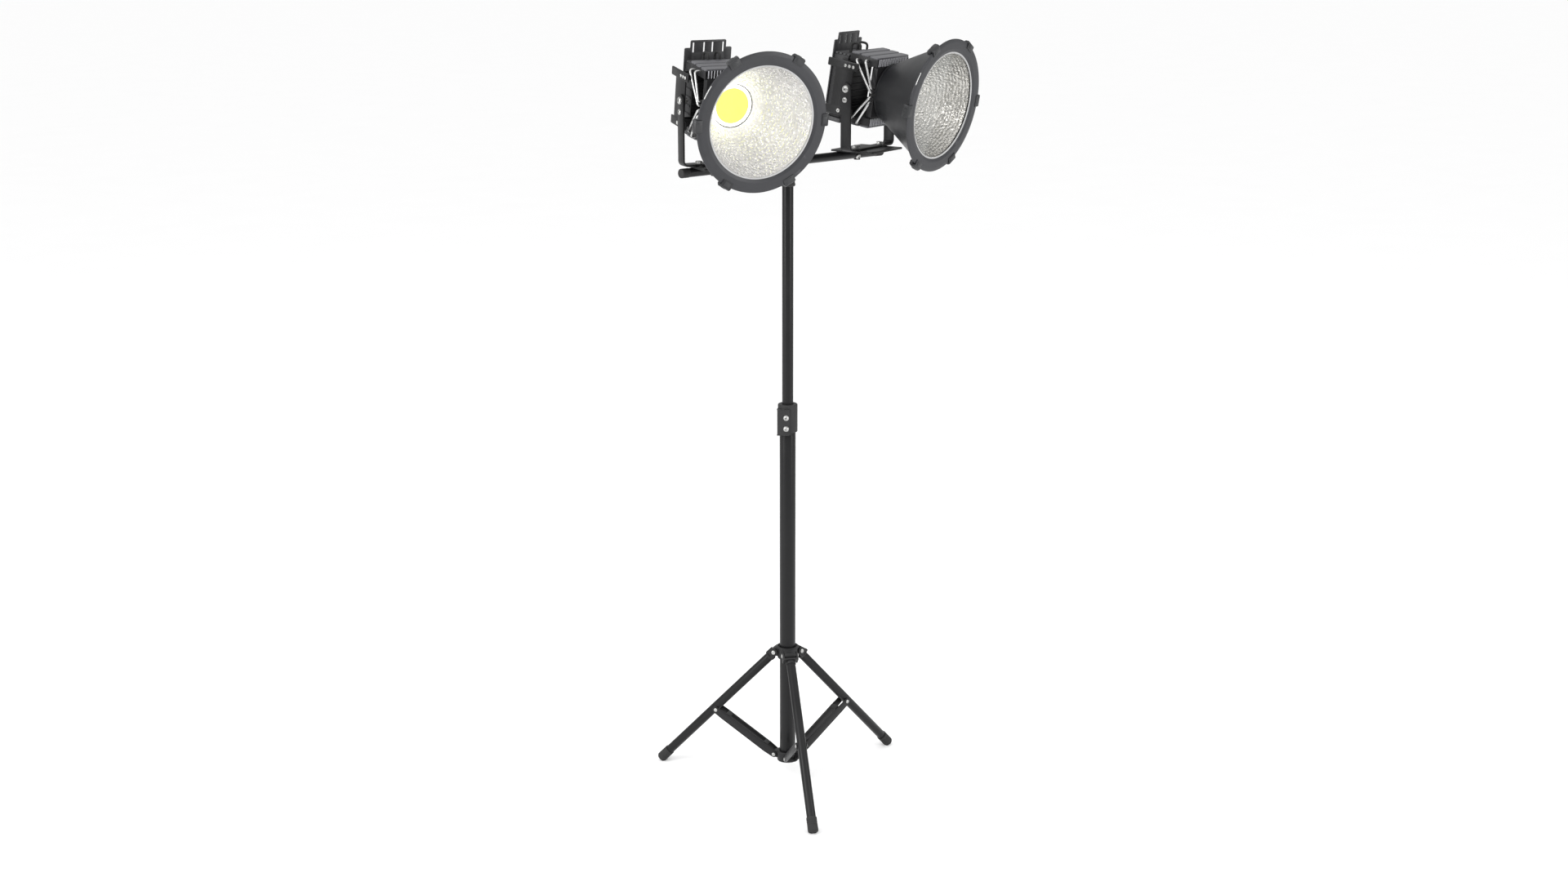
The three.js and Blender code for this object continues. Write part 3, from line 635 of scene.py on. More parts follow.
# Light grey strips on the fins' front edges: painted light where the edges catch it.
LIT_FIN_EDGES = painted("fin_aluminium", (0.34, 0.34, 0.36),
               rough=0.4, grain=500, depth=0.00008, edge_wear_and_highlight=0.3, shine=0.5)
LID_PAINT = painted("fin_lids", (0.07, 0.07, 0.077),
                    rough=0.42, grain=700, depth=0.0001, edge_wear_and_highlight=0.5, shine=0.4)
TERMINAL = painted("terminal_block", (0.16, 0.16, 0.11),
                   rough=0.5, grain=900, depth=0.0001, edge_wear_and_highlight=0.3, shine=0.4)
# The left lamp is on. Its reflector is a lit copy of the right one's metal: the lighter colour and the
# glow are painted light from its LED.
LIT_LED = tuple(head_frame("left") @ Vector((0, -LED.rear - 6.1, 0)))
REFLECTOR_METAL = {
    "left": hammered("reflector_left", (0.93, 0.927, 0.935), 0.15, 0.58, LIT_LED, glow=0.35),
    "right": hammered("reflector_right", (0.7, 0.695, 0.68), 0.14, 0.5),
}
GLASS = clear_glass("lens_clear")
# The left lamp is on: the board round its LED glows more than the phosphor, as painted light from the
# LED. The right lamp is off, yet its phosphor and board keep a faint painted glow.
PHOSPHOR = {
    "left": glowing("phosphor_lit", (0.1, 0.1, 0.02), (1.0, 1.0, 0.2), 1.0, 900),
    "right": glowing("phosphor_unlit", (0.8, 0.68, 0.14), (1.0, 0.9, 0.3), 0.02, 900),
}
LED_BOARD = {
    "left": glowing("board_lit", (0.9, 0.9, 0.86), (1.0, 0.99, 0.94), 3.2, 500),
    "right": glowing("board_unlit", (0.8, 0.8, 0.77), (1.0, 1.0, 0.95), 0.02, 500),
}

# ---------- putting pieces into the scene ----------


def joined_mesh(name, parts, place, floor):
    """One mesh from parts, cut off at the floor if asked."""
    mesh = bmesh.new()
    for points, faces in parts:
        verts = [mesh.verts.new(place @ point) for point in points]
        for face in faces:
            mesh.faces.new([verts[i] for i in face])
    bmesh.ops.remove_doubles(mesh, verts=mesh.verts, dist=2e-6)
    if floor:
        everything = mesh.verts[:] + mesh.edges[:] + mesh.faces[:]
        cut = bmesh.ops.bisect_plane(
            mesh, geom=everything, plane_co=(0, 0, 0), plane_no=(0, 0, -1), clear_outer=True)
        rim = [e for e in cut["geom_cut"] if isinstance(e, bmesh.types.BMEdge)]
        bmesh.ops.contextual_create(mesh, geom=rim)
    bmesh.ops.recalc_face_normals(mesh, faces=mesh.faces)
    data = bpy.data.meshes.new(name)
    mesh.to_mesh(data)
    mesh.free()
    return data


class Holder:
    """A body of the frame, and the local frame that its pieces are drawn in.

    A side, where there is one, ends the names of the pieces and of the nodes they replace."""

    def __init__(self, body, place, side=""):
        self.body = body
        self.place = place
        self.side = side
        self.end = f"_{side}" if side else ""

    def add(self, name, parts, material, replaces="", slot="", letter="", smooth=32, floor=False):
        """Makes one piece in the given material. The slot argument is not used.

        The frame's own materials have the same names, so Blender adds an ending to those made here."""
        end = self.end + letter
        data = joined_mesh(name + end, parts, self.place, floor)
        data.shade_smooth()
        data.set_sharp_from_angle(angle=math.radians(smooth))
        data.materials.append(material)
        thing = bpy.data.objects.new(name + end, data)
        bpy.context.scene.collection.objects.link(thing)
        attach(thing, self.body)
        if replaces:
            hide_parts(replaces + end)


# ---------- mast ----------

def make_mast():
    mast = mast_frame()
    lower = tube(LOWER_TUBE.radius, LOWER_TUBE.inside, LOWER_TUBE.bottom, LOWER_TUBE.top)
    Holder("stand", mast).add("lower_tube", [lower], TUBE, "lower_mast_tube")
    upper = tube(UPPER_TUBE.radius, UPPER_TUBE.inside, UPPER_TUBE.bottom, UPPER_TUBE.top)
    Holder("upper_mast", mast).add("upper_tube", [upper], TUBE, "upper_mast_tube")


def make_clamp():
    stand = Holder("stand", mast_frame(CLAMP_TURN))
    radius, bottom, top, step = CLAMP.radius, CLAMP.bottom, CLAMP.top, CLAMP.step
    lower_bore, upper_bore = CLAMP.lower_bore, CLAMP.upper_bore
    sleeve = turned(rounded([
        (lower_bore, bottom, 0.4), (radius, bottom, 1.5), (radius, top, 2.5),
        (upper_bore, top, 0.8), (upper_bore, step, 0.2), (lower_bore, step, 0.2)], 0.5))
    face, left, right = CLAMP_BOSS.face, CLAMP_BOSS.left, CLAMP_BOSS.right
    seat = 19.0
    start = math.degrees(math.asin(right / seat))
    outline = rounded([(2, left, 1.5), (face, left, 3), (face, right, 2.5)], 0)
    outline += arc(0, 0, seat, start, -88, 12)
    boss = slab([outline], CLAMP_BOSS.bottom, CLAMP_BOSS.top, 1.2)
    stand.add("clamp_body", [sleeve, boss], CAST, "mast_clamp")
    for name, height in CLAMP_SCREWS.items():
        collar = moved(along_x(washer(6.0, 2.6, 0.8)), face, 0, height)
        screw = moved(along_x(button_screw(5.2, 3.0, 2.2)), face + 0.8, 0, height)
        stand.add(f"clamp_bolt_{name}", [collar, screw], ZINC, f"clamp_screw_{name}")


# ---------- tripod ----------

def lug_outline(size, pivot):
    """A lug seen from the side, sloping from the ring's top to a round end about its pivot."""
    reach, height = pivot
    start = 18.2
    outline = [(start, height - size.lug)]
    outline += arc(reach, height, size.lug, -90, 65, 14)
    return outline + [(size.radius - 2, size.top - 0.5), (start, size.top - 0.5)]


def make_three_lug_ring(name, node, size, pivot, body, extras=()):
    mast = mast_frame()
    holder = Holder(body, mast)
    parts = [tube(size.radius, size.bore, size.bottom, size.top, 1.4)]
    parts += list(extras)
    for side in LEGS:
        to_radial = (mast.inverted() @ radial_frame(side)).to_3x3()
        half = size.half_width
        lug = slab_y([lug_outline(size, pivot)], -half, half, 1.0)
        boss = along_y(tube(size.lug + 0.6, 3.4, -half * 0.62, half * 0.62, 0.8, 48))
        for part in (lug, moved(boss, pivot[0], 0, pivot[1])):
            parts.append(turned_to(part, to_radial))
    holder.add(name, parts, MOULDED, node)


def make_collar_and_hub():
    flange = turned(rounded([(18, 313.6), (24.6, 313.6), (24.6, 318), (18, 318)], 1.2))
    make_three_lug_ring("collar_body", "leg_collar", COLLAR, COLLAR_PIVOT, "collar", [flange])
    plug = turned(rounded([
        (0, 46, 0), (17.4, 46, 1), (17.4, 60, 0.5), (14, 60, 0.5), (14, 50, 1), (0, 50, 0)], 0))
    make_three_lug_ring("hub_body", "strut_hub", HUB, HUB_PIVOT, "stand", [plug])


def pin_with_heads(radius, head, height, reach):
    """A cross pin along Y with a domed head at each end; its heads sit at y = reach."""
    shank = along_y(disc(radius, -reach, reach, 0.1, 24))
    far = moved(along_y(rivet(head, height)), 0, reach, 0)
    return [shank, far, flipped(far)]


def make_clevis(leg):
    ear = arc(0, 0, EAR.radius, 90, 270, 16) + [(14.5, -EAR.radius), (14.5, EAR.radius)]
    ears = [slab_y([ear], y0, y1, 0.7)
            for y0, y1 in ((-EAR.outer, -EAR.inner), (EAR.inner, EAR.outer))]
    wide = EAR.outer
    yoke_block = slab_x([rectangle(-wide, wide, -5.5, 12.5, 3.0)], 10.5, 14.5, 0.9)
    socket = along_x(tube(11.4, 9.9, 15, 22, 0.8, 48))
    plug = along_x(disc(8.3, 14, 30, 0.3, 48))
    leg.add("clevis", ears + [yoke_block, socket, plug], MOULDED, "leg_clevis")


def make_leg(side):
    leg = Holder(f"leg_{side}", leg_frame(side), side)
    make_clevis(leg)
    rod = along_x(tube(
        LEG_TUBE.radius, LEG_TUBE.inside, LEG_TUBE.start, LEG_TUBE.end, 0.4, 64))
    leg.add("leg_rod", [rod], TUBE, "leg_tube")

    radius, bore, start, end = FOOT.radius, FOOT.bore, FOOT.start, FOOT.end
    bottom_of_bore = LEG_TUBE.end + 0.3
    groove_deep = 0.5
    outline = [(0, bottom_of_bore, 0), (bore, bottom_of_bore, 0.2)]
    outline += [(bore, start, 0.4), (radius, start, 0.5)]
    for groove in range(3):
        at = start + 7 + 5 * groove
        outline += [(radius, at, 0.3), (radius - groove_deep, at + 0.5, 0.3),
                    (radius - groove_deep, at + 1.4, 0.3), (radius, at + 1.9, 0.3)]
    outline += [(radius, end, 4.0), (0, end, 0)]
    foot = along_x(turned(rounded(outline, 0.3), 64))
    leg.add("foot_cap", [foot], RUBBER, "leg_foot", floor=True)
    leg.add("collar_pin", pin_with_heads(3, 4.8, 2.3, EAR.outer + 0.2), ZINC, "leg_pin")


def make_strut(side):
    strut = Holder(f"strut_{side}", strut_frame(side), side)
    length = strut_span()[0]
    half, first, last = STRUT.half, STRUT_BRIDGES[0][0] - 2, STRUT_BRIDGES[1][1] + 2
    outline = arc(0, 0, STRUT.hub_end, 90, 270, 12) + [(first, -half), (last, -half)]
    outline += arc(length, 0, STRUT.leg_end, -90, 90, 12) + [(last, half), (first, half)]
    outer, inner = STRUT.outer, STRUT.inner
    walls = [slab_y([outline], y0, y1, 0.6) for y0, y1 in ((-outer, -inner), (inner, outer))]
    webs = [slab([rectangle(x0, x1, -outer + 0.3, outer - 0.3, 2.0)], half - 2, half, 0.6)
            for x0, x1 in STRUT_BRIDGES]
    lips = [block(first + 4, last - 4, y0, y1, half - 2.0, half, 0.6, 0.5)
            for y0, y1 in ((-outer + 0.3, -outer + 4.5), (outer - 4.5, outer - 0.3))]
    strut.add("strut_channel", walls + webs + lips, BRACKET, "leg_strut")
    head = moved(along_y(rivet(4.2, 1.7)), 0, outer - 0.1, 0)
    heads = [moved(part, length, 0, 0) for part in (head, flipped(head))]
    strut.add("strut_rivets", heads, ZINC)
    strut.add("strut_pin", pin_with_heads(2.6, 4.2, 1.9, outer + 0.2), ZINC, "hub_pin")


# ---------- crossbar ----------

def make_crossbar():
    crossbar = Holder("crossbar", mast_frame())
    height = BAR.height
    left, right = BAR.left, BAR.right
    bar = moved(along_x(tube(BAR.radius, BAR.inside, left, right, 0.4)), 0, 0, height)
    crossbar.add("bar_tube", [bar], TUBE, "crossbar_tube")

    upright = tube(SOCKET.radius, 12.4, SOCKET.bottom, 1386, 1.4)
    neck = turned(rounded([(0, 1385, 0), (15.2, 1385, 1), (13.2, 1397, 1), (0, 1397, 0)], 0))
    sleeve_half = SOCKET.sleeve_half
    sleeve = along_x(tube(SOCKET.sleeve, 9.7, -sleeve_half, sleeve_half, 1.2))
    ribs = [moved(along_x(tube(SOCKET.sleeve + 0.9, 11, x - 2.5, x + 2.5, 0.8)), 0, 0, height)
            for x in (-sleeve_half + 3, sleeve_half - 3)]
    foot_rib = tube(SOCKET.radius + 0.9, 14, SOCKET.bottom + 1, SOCKET.bottom + 6, 0.8)
    crossbar.add("tee_socket", [upright, neck, moved(sleeve, 0, 0, height), foot_rib] + ribs, CAST,
                 "crossbar_socket")

    set_screw = flipped(along_y(button_screw(3.6, 2.4, 1.5)))
    screws = [moved(set_screw, x, -SOCKET.sleeve + 0.3, height) for x in (-20, 20)]
    screws.append(moved(set_screw, 0, -SOCKET.radius + 0.3, SOCKET.bottom + 16))
    crossbar.add("tee_set_screws", screws, ZINC)

    cap = along_x(turned(rounded([
        (0, 0.4, 0), (9.5, 0.4, 0.2), (9.5, -16, 0.1), (9.8, -16, 0.1), (9.8, 3.5, 2.5), (0, 3.5, 0)],
        0.3), 64))
    caps = [moved(cap, right, 0, height), moved(flipped(cap), left, 0, height)]
    crossbar.add("bar_caps", caps, RUBBER)

    bolt = moved(flipped(along_y(button_screw(6.0, 4.0, 2.2))), 0, -BAR.radius + 0.6, 0)
    bolt = turned_to(bolt, Matrix.Rotation(math.radians(BAR_BOLT.turn), 3, "X"))
    bolts = [moved(bolt, x, 0, height) for x in (-BAR_BOLT.x, BAR_BOLT.x)]
    crossbar.add("bar_bolts", bolts, ZINC)


# ---------- yokes ----------

def yoke_strip():
    """A flat bar bent into a U, its arms rounded over the tilt axis."""
    outer, thick, bend = YOKE.outer, YOKE.thick, YOKE.bend
    middle = outer - thick / 2
    floor_line = YOKE.bottom + thick / 2
    radius = bend - thick / 2
    half_width = YOKE.width / 2
    stations = []
    for k in range(13):
        angle = math.radians(90 - 90 * k / 12)
        reach = half_width * math.sin(angle) * 0.998
        stations.append((-middle, TILT_HEIGHT + reach, (-1, 0), half_width * math.cos(angle) + 0.15))
    for k in range(9):
        angle = math.radians(180 + 90 * k / 8)
        spoke = (math.cos(angle), math.sin(angle))
        x = -middle + radius + radius * spoke[0]
        z = floor_line + radius + radius * spoke[1]
        stations.append((x, z, spoke, half_width))
    stations += [(-x, z, (-spoke[0], spoke[1]), width) for x, z, spoke, width in reversed(stations)]
    edge = 0.7
    rings = []
    for x, z, spoke, width in stations:
        edge_here = min(edge, width * 0.4)
        section = rectangle(-width, width, -thick / 2, thick / 2, edge_here, 2)
        rings.append([(x + spoke[0] * t, w - FORWARD, z + spoke[1] * t) for w, t in section])
    return loft(rings)


def make_yoke(side):
    yoke = Holder(f"yoke_{side}", yoke_frame(side), side)
    slots = [slot_outline(x, -FORWARD, 58, 9) for x in (-WEB_BOLT_X, WEB_BOLT_X)]
    rim = rectangle(-PLATE.half, PLATE.half, -PLATE.front, PLATE.rear, 5, 6)
    plate = slab([rim] + slots + [arc(0, 0, 5.2, 0, 345, 24)], PLATE.bottom, PLATE.top, 0.5)
    yoke.add("plate", [plate], BRACKET, "base_plate")
    yoke.add("yoke_strip", [yoke_strip()], BRACKET, "yoke")

    top = PLATE.top + 0.1
    nut_face = BAR.height - BAR.radius - 0.2
    shank = disc(4.8, nut_face - 2, top, 0.4, 32)
    head = moved(hex_head(7.0, 5.0), 0, 0, top)
    yoke.add("swivel_fastener", [shank, head], ZINC, "swivel_bolt")
    nut = moved(downward(hex_head(6.8, 2.6)), 0, 0, nut_face)
    yoke.add("swivel_nut", [nut], BRACKET, slot="zinc_plated")

    web_top = YOKE.bottom + YOKE.thick
    washer_thick = 1.2
    bolts = []
    for x in (-WEB_BOLT_X, WEB_BOLT_X):
        bolts.append(moved(washer(8.5, 4.2, washer_thick), x, -FORWARD, web_top))
        bolts.append(moved(hex_head(6.5, 4.6), x, -FORWARD, web_top + washer_thick))
    yoke.add("web_bolts", bolts, ZINC)
    make_lock_bolts(yoke)


# ---------- lamp heads ----------

def cheek_outline():
    """A web with a rail above and below it, whose ends are rounded."""
    rear, web_rear, web_front = CHEEK.rear, CHEEK.web_rear, CHEEK.web_front
    low_front, high_front = CHEEK.low_front, CHEEK.high_front
    near, far = CHEEK.rail_inner, CHEEK.rail_outer
    return rounded([
        (rear, -far), (low_front, -far), (low_front, -near, 1.5), (web_front, -near, 1.5),
        (web_front, near, 1.5), (high_front, near), (high_front, far), (rear, far), (rear, near),
        (web_rear, near, 1.5), (web_rear, -near, 1.5), (rear, -near)], 2.5)


def make_cheeks(lamp):
    """Two side plates with an upper and a lower rail, joined by cross straps."""
    inner, outer = CHEEK.inner, CHEEK.outer
    cheeks = [slab_x([cheek_outline()], x0, x1, 0.5) for x0, x1 in ((-outer, -inner), (inner, outer))]
    near, far = CHEEK.rail_inner, STRAP.outer
    straps = []
    for depths, z0, z1 in ((STRAP.upper, near, far), (STRAP.lower, -far, -near)):
        outline = rectangle(-STRAP.half, STRAP.half, z0, z1, 1.0)
        straps += [slab_y([outline], -depth - STRAP.thick, -depth, 0.4) for depth in depths]
    lamp.add("cheeks", cheeks + straps, BRACKET, "head_frame")
    seat = outer - 0.1
    row = [moved(along_x(button_screw(3.5, 2.4, 1.5, 36)), seat, y, 48) for y in (12, 2, -8)]
    row.append(moved(along_x(hex_head(4.0, 2.6, 36)), seat, 13, -49))
    lamp.add("cheek_screws", row + mirrored_all(row, x=-1), ZINC)


def make_pivots(lamp):
    arm_face = YOKE.outer + 0.15
    collar = moved(along_x(washer(7.7, 4.2, 0.9)), arm_face, 0, 0)
    head = moved(along_x(button_screw(7.2, 3.6, 2.6)), arm_face + 0.9, 0, 0)
    shank = along_x(disc(3.8, 72, arm_face + 1, 0.3, 32))
    nut = moved(flipped(along_x(hex_head(6.2, 5.5))), CHEEK.inner - 0.2, 0, 0)
    right = [collar, head, shank, nut]
    left = [flipped(part) for part in right]
    for letter, parts in (("a", left), ("b", right)):
        lamp.add("pivot_fastener", parts, ZINC, "pivot_bolt", letter=f"_{letter}")


def make_lock_bolts(yoke):
    """The smaller bolts below the pivots, in the yoke's arms."""
    collar = moved(along_x(washer(5.9, 3.2, 0.6)), YOKE.outer, 0, 0)
    head = moved(along_x(button_screw(5.5, 2.4, 2.0)), YOKE.outer + 0.6, 0, 0)
    y, z = LOCK_BOLT.back - FORWARD, TILT_HEIGHT - LOCK_BOLT.below
    parts = [moved(part, 0, y, z) for part in (collar, head, flipped(collar), flipped(head))]
    yoke.add("lock_bolts", parts, ZINC)


def make_rear_plate(lamp):
    half, crown = REAR_PLATE.half, REAR_PLATE.crown_half
    bottom, shoulder, top = REAR_PLATE.bottom, REAR_PLATE.shoulder, REAR_PLATE.top
    rear = REAR_PLATE.rear
    rim = rounded([
        (-half, bottom), (half, bottom), (half, shoulder), (crown, shoulder, 1), (crown, top),
        (-crown, top), (-crown, shoulder, 1), (-half, shoulder)], 3)
    slots = [rectangle(x - 1.9, x + 1.9, 80, 100.5, 0.8, 2) for x in (-33.5, -9.5, 9.5, 33.5)]
    plate = slab_y([rim] + slots, REAR_PLATE.front, rear, 0.2)
    ribs = [slab_y([rectangle(x - 2.5, x + 2.5, -40, 72, 2.4)], rear - 0.3, rear + 1.5, 0.8)
            for x in (-30, 30)]
    # The plate is painted lighter than the bracket black: painted light.
    lamp.add("back_plate", [plate] + ribs, LIT_PLATE_PAINT, "rear_plate", slot="bracket_black")
    rivets = [moved(along_y(rivet(3.6, 1.8)), x, rear - 0.1, z) for x in (-45, 45) for z in (-38, 60)]
    lamp.add("back_rivets", rivets, ZINC)


def driver_case():
    """The driver's shell, the neck under it, and the ribs on its front and sides."""
    half, low, top = DRIVER.half, DRIVER.bottom, DRIVER.top
    front, rear = -DRIVER.front, -DRIVER.rear
    case_low = low + DRIVER.case
    parts = [slab_y([rectangle(-half, half, case_low, top - 4, 4)], front + 2, rear, 1.0)]
    parts.append(slab_y([rectangle(-half + 8, half - 8, low + 2, case_low + 2, 1)],
                        front + 6, rear - 3, 0.8))
    for k in range(9):
        z = case_low + 8 + k * (top - case_low - 18) / 8
        parts.append(slab_y([rectangle(-half + 3, half - 3, z - 3, z + 3, 2.8)], front, front + 4, 1.6))
    for sign in (-1, 1):
        x0, x1 = sorted((sign * (half - 0.5), sign * (half + 1.2)))
        for k in range(7):
            z = case_low + 10 + 17 * k
            parts.append(slab_x([rectangle(front + 6, rear - 4, z, z + 5, 2)], x0, x1, 0.5))
    return parts


def driver_trim():
    """Four beads along the driver's top, and the tray at its bottom with upright lines."""
    half, low, top = DRIVER.half, DRIVER.bottom, DRIVER.top
    front, rear = -DRIVER.front, -DRIVER.rear
    bead = along_x(disc(4.2, -half + 2, half - 2, 1.5, 32))
    beads = [moved(bead, 0, front + 6 + k * (rear - front - 10) / 3, top - 5) for k in range(4)]
    tray_outline = rectangle(-half - 1, half + 1, low, low + DRIVER.tray, 1.5)
    tray = slab_y([tray_outline], front + 1, rear - 0.5, 0.8)
    lines = [block(x - 1.4, x + 1.4, front - 0.2, front + 1.5, low + 1, low + DRIVER.tray - 1, 0.4, 0.3)
             for x in range(-45, 46, 6)]
    return beads + [tray] + lines


def driver_leads():
    """Two leads that arch out of the driver's top and down into the LED's block."""
    top = DRIVER.top
    start_y, end_y, crest = LEAD_ROUTE.start_y, LEAD_ROUTE.end_y, top + LEAD_ROUTE.rise
    leads = []
    for x in LEAD_ROUTE.x:
        route = [(x, start_y, top - 4), (x, start_y, crest), (x, end_y, crest)]
        route.append((x, end_y, LEAD_ROUTE.end))
        leads.append(rod_along(bent_path(route, 13, 10), LEAD_ROUTE.radius))
        leads.append(moved(disc(3.6, top - 4, top + 4, 1.0, 32), x, start_y, 0))
    return leads


def make_driver(lamp):
    lamp.add("driver_case", driver_case(), DRIVER_PAINT, "driver_box")
    # The beads and tray are painted lighter than the case: painted light.
    lamp.add("driver_trim", driver_trim(), LIT_PLATE_PAINT, slot="driver_housing")
    lamp.add("leads", driver_leads(), LEAD, slot="rubber_black")


def fin_block():
    """One block of upright fins under stepped covers, as the fins, their end plates, lids, and the
    lighter strips on the fins' front edges.
    """
    half, inner, outer, thick = FIN.half, FIN.inner, FIN.outer, FIN.thick
    front, rear = -FIN.front, -FIN.rear
    pitch = (2 * half - thick) / (FIN.count - 1)
    outline = rounded([
        (front, inner, 1.5), (rear, inner, 1.5), (rear, outer - 3, 1), (front + 1, outer - 3, 6)], 1)
    starts = [-half + k * pitch for k in range(FIN.count)]
    plates = [slab_x([outline], x, x + thick, 0.4) for x in starts]
    edges = [block(x - 0.1, x + thick + 0.1, front - 0.2, front + 1.8, inner + 1, outer - 5)
             for x in starts[1:-1]]
    low, high = inner + 7, inner + 9.5
    tie = rounded([(front + 9, low), (rear - 3, low), (rear - 3, high), (front + 9, high)], 0.8)
    ends = [plates[0], plates[-1], slab_x([tie], -half + 1, half - 1, 0.5)]
    covers = (
        (front + 0.2, front + 23.4, 1.6), (front + 24.6, front + 46.4, 0.8), (front + 47.6, rear, 0))
    lids = [slab([rectangle(-half - 0.8, half + 0.8, y0, y1, 5)], outer - drop - 4.5, outer - drop, 1.6)
            for y0, y1, drop in covers]
    return plates[1:-1], ends, lids, edges


def make_fins(lamp):
    """The blocks of fins above and below the shade's neck, one the other's mirror image."""
    for name, sign in (("upper", 1), ("lower", -1)):
        fins, ends, lids, edges = [mirrored_all(parts, z=sign) for parts in fin_block()]
        # Painted light and shade: fins and end plates painted near black for the shade between and beside
        # them, and their front edges painted light.
        lamp.add(f"fin_edges_{name}", edges, LIT_FIN_EDGES)
        lamp.add(f"fins_{name}", fins, DRIVER_PAINT, f"fin_block_{name}", slot="fin_aluminium")
        lamp.add(f"fin_ends_{name}", ends, DRIVER_PAINT)
        lamp.add(f"fin_lids_{name}", lids, LID_PAINT, slot="fin_aluminium")


def pipe_routes():
    """Each heat pipe: out of the block, along the head's side, and in towards the fins."""
    start, bend = -HEAT_PIPE.start, -HEAT_PIPE.bend
    for sign in (-1, 1):
        block_x, side_x, tip_x = sign * HEAT_PIPE.block_x, sign * HEAT_PIPE.side_x, sign * HEAT_PIPE.tip_x
        for height, end_depth, end_height in PIPE_ROWS:
            yield [(block_x, start, height), (side_x, bend, height),
                   (side_x, -end_depth, end_height), (tip_x, -end_depth, end_height)]


def make_heat_pipes(lamp):
    pipes = [rod_along(bent_path(route, 6, 6), HEAT_PIPE.radius) for route in pipe_routes()]
    lamp.add("heat_pipes", pipes, PIPE, "heat_pipe_core")
    half, tall = BLOCK.half, BLOCK.height
    slug = slab_y([rectangle(-half, half, -tall, tall, 3)], -BLOCK.front, -BLOCK.rear, 0.8)
    saddles = [slab_y([rectangle(-half + 4, half - 4, z - 3.5, z + 3.5, 2)], -42, -38, 0.8)
               for z, _, _ in PIPE_ROWS]
    lamp.add("spreader", [slug] + saddles, DRIVER_PAINT)
    screws = [moved(along_y(button_screw(3.2, 2.2, 1.4, 36)), x, -40.2, z)
              for x in (-50, -17, 17, 50) for z in (-27, 27)]
    lamp.add("spreader_screws", screws, ZINC)
    terminal = [block(x - 2.6, x + 2.6, -49, -43, 31, 42, 1.0, 0.6) for x in (-3, 3)]
    lamp.add("terminal", terminal, TERMINAL, slot="led_phosphor")


def make_shade(lamp):
    rear, front, lip = SHADE.rear, SHADE.front, SHADE.lip
    narrow, wide = SHADE.rear_radius, SHADE.front_radius
    hole = 44
    shell = ahead(turned(rounded([
        (hole, rear, 0.5), (narrow, rear, 4), (wide, front - 2, 1), (lip, front - 2, 0.3),
        (lip, front, 0.3), (wide - 3, front, 1), (narrow - 3, rear + 2, 3), (hole, rear + 2, 0.5)],
        0.5), 128))
    neck = ahead(turned(rounded([
        (narrow - 1, rear + 1), (narrow + 2.2, rear + 1),
        (narrow + 4.6, rear + 6), (narrow + 1, rear + 6)], 0.8), 128))
    lamp.add("shade_cone", [shell, neck], SHADE_PAINT, "shade")


def hammer_marks(seed):
    """Random offsets and depths for a field of hammer marks."""
    rng = random.Random(seed)
    shift = DIMPLES.shift
    return [[(rng.uniform(-shift, shift), rng.uniform(-shift, shift), rng.uniform(0.7, 1.0))
             for _ in range(DIMPLES.columns)] for _ in range(DIMPLES.rows + 2)]


def nearest_mark(marks, row_at, column_at):
    """The squared distance to the nearest mark's middle, in marks, and that mark's depth."""
    nearest = 9.0
    deep = 1.0
    for row in range(max(0, int(row_at) - 1), min(DIMPLES.rows, int(row_at) + 1) + 1):
        stagger = 0.5 * (row % 2) + 0.12 * row
        base_column = math.floor(column_at - stagger)
        for column in range(base_column - 1, base_column + 2):
            dx, dy, strength = marks[row][column % DIMPLES.columns]
            across = column_at - (column + 0.5 + stagger + dx)
            along = row_at - (row + 0.5 + dy)
            gap = across * across + along * along
            if gap < nearest:
                nearest = gap
                deep = strength
    return nearest, deep


def bowl_radius(share):
    """The bowl's radius at a share of its depth, which makes it a paraboloid."""
    small, large = REFLECTOR.rear_radius, REFLECTOR.front_radius
    return math.sqrt(small ** 2 + (large ** 2 - small ** 2) * share)


def dimpled_ring(share, marks):
    """One ring of the bowl's inside, lifted and sunk across its slope by the marks."""
    rear, front = REFLECTOR.rear, REFLECTOR.front
    small, large = REFLECTOR.rear_radius, REFLECTOR.front_radius
    radius = bowl_radius(share)
    height = rear + (front - rear) * share
    slope = math.atan2(front - rear, (large ** 2 - small ** 2) / (2 * radius))
    fade = min(1.0, share * 12, (1 - share) * 14)
    around = DIMPLES.steps_round
    ring = []
    for j in range(around):
        gap, deep = nearest_mark(marks, share * DIMPLES.rows, j / around * DIMPLES.columns)
        lift = DIMPLES.depth * deep * fade * (min(gap, 0.4) / 0.4 - 0.6)
        angle = 2 * math.pi * j / around
        r = radius - lift * math.sin(slope)
        ring.append((r * math.cos(angle), r * math.sin(angle), height + lift * math.cos(slope)))
    return ring


def make_reflector(lamp):
    """A bowl with hammered dimples, closed at the back by its own plain outside."""
    marks = hammer_marks(DIMPLE_SEEDS[lamp.side])
    down, around = DIMPLES.steps_down, DIMPLES.steps_round
    rear, front, lip = REFLECTOR.rear, REFLECTOR.front, REFLECTOR.lip
    rings = [dimpled_ring(i / down, marks) for i in range(down + 1)]
    rings += [circle_ring(lip, front, around), circle_ring(lip, front - 1.5, around)]
    for share in (0.97, 0.66, 0.33, 0.0):
        rings.append(circle_ring(bowl_radius(share) + 2.6, rear + (front - rear) * share - 0.4, around))
    bowl = ahead(loft(rings, closed=True))
    lamp.add("reflector_bowl", [bowl], REFLECTOR_METAL[lamp.side], "reflector", slot="reflector_silver",
             smooth=60)


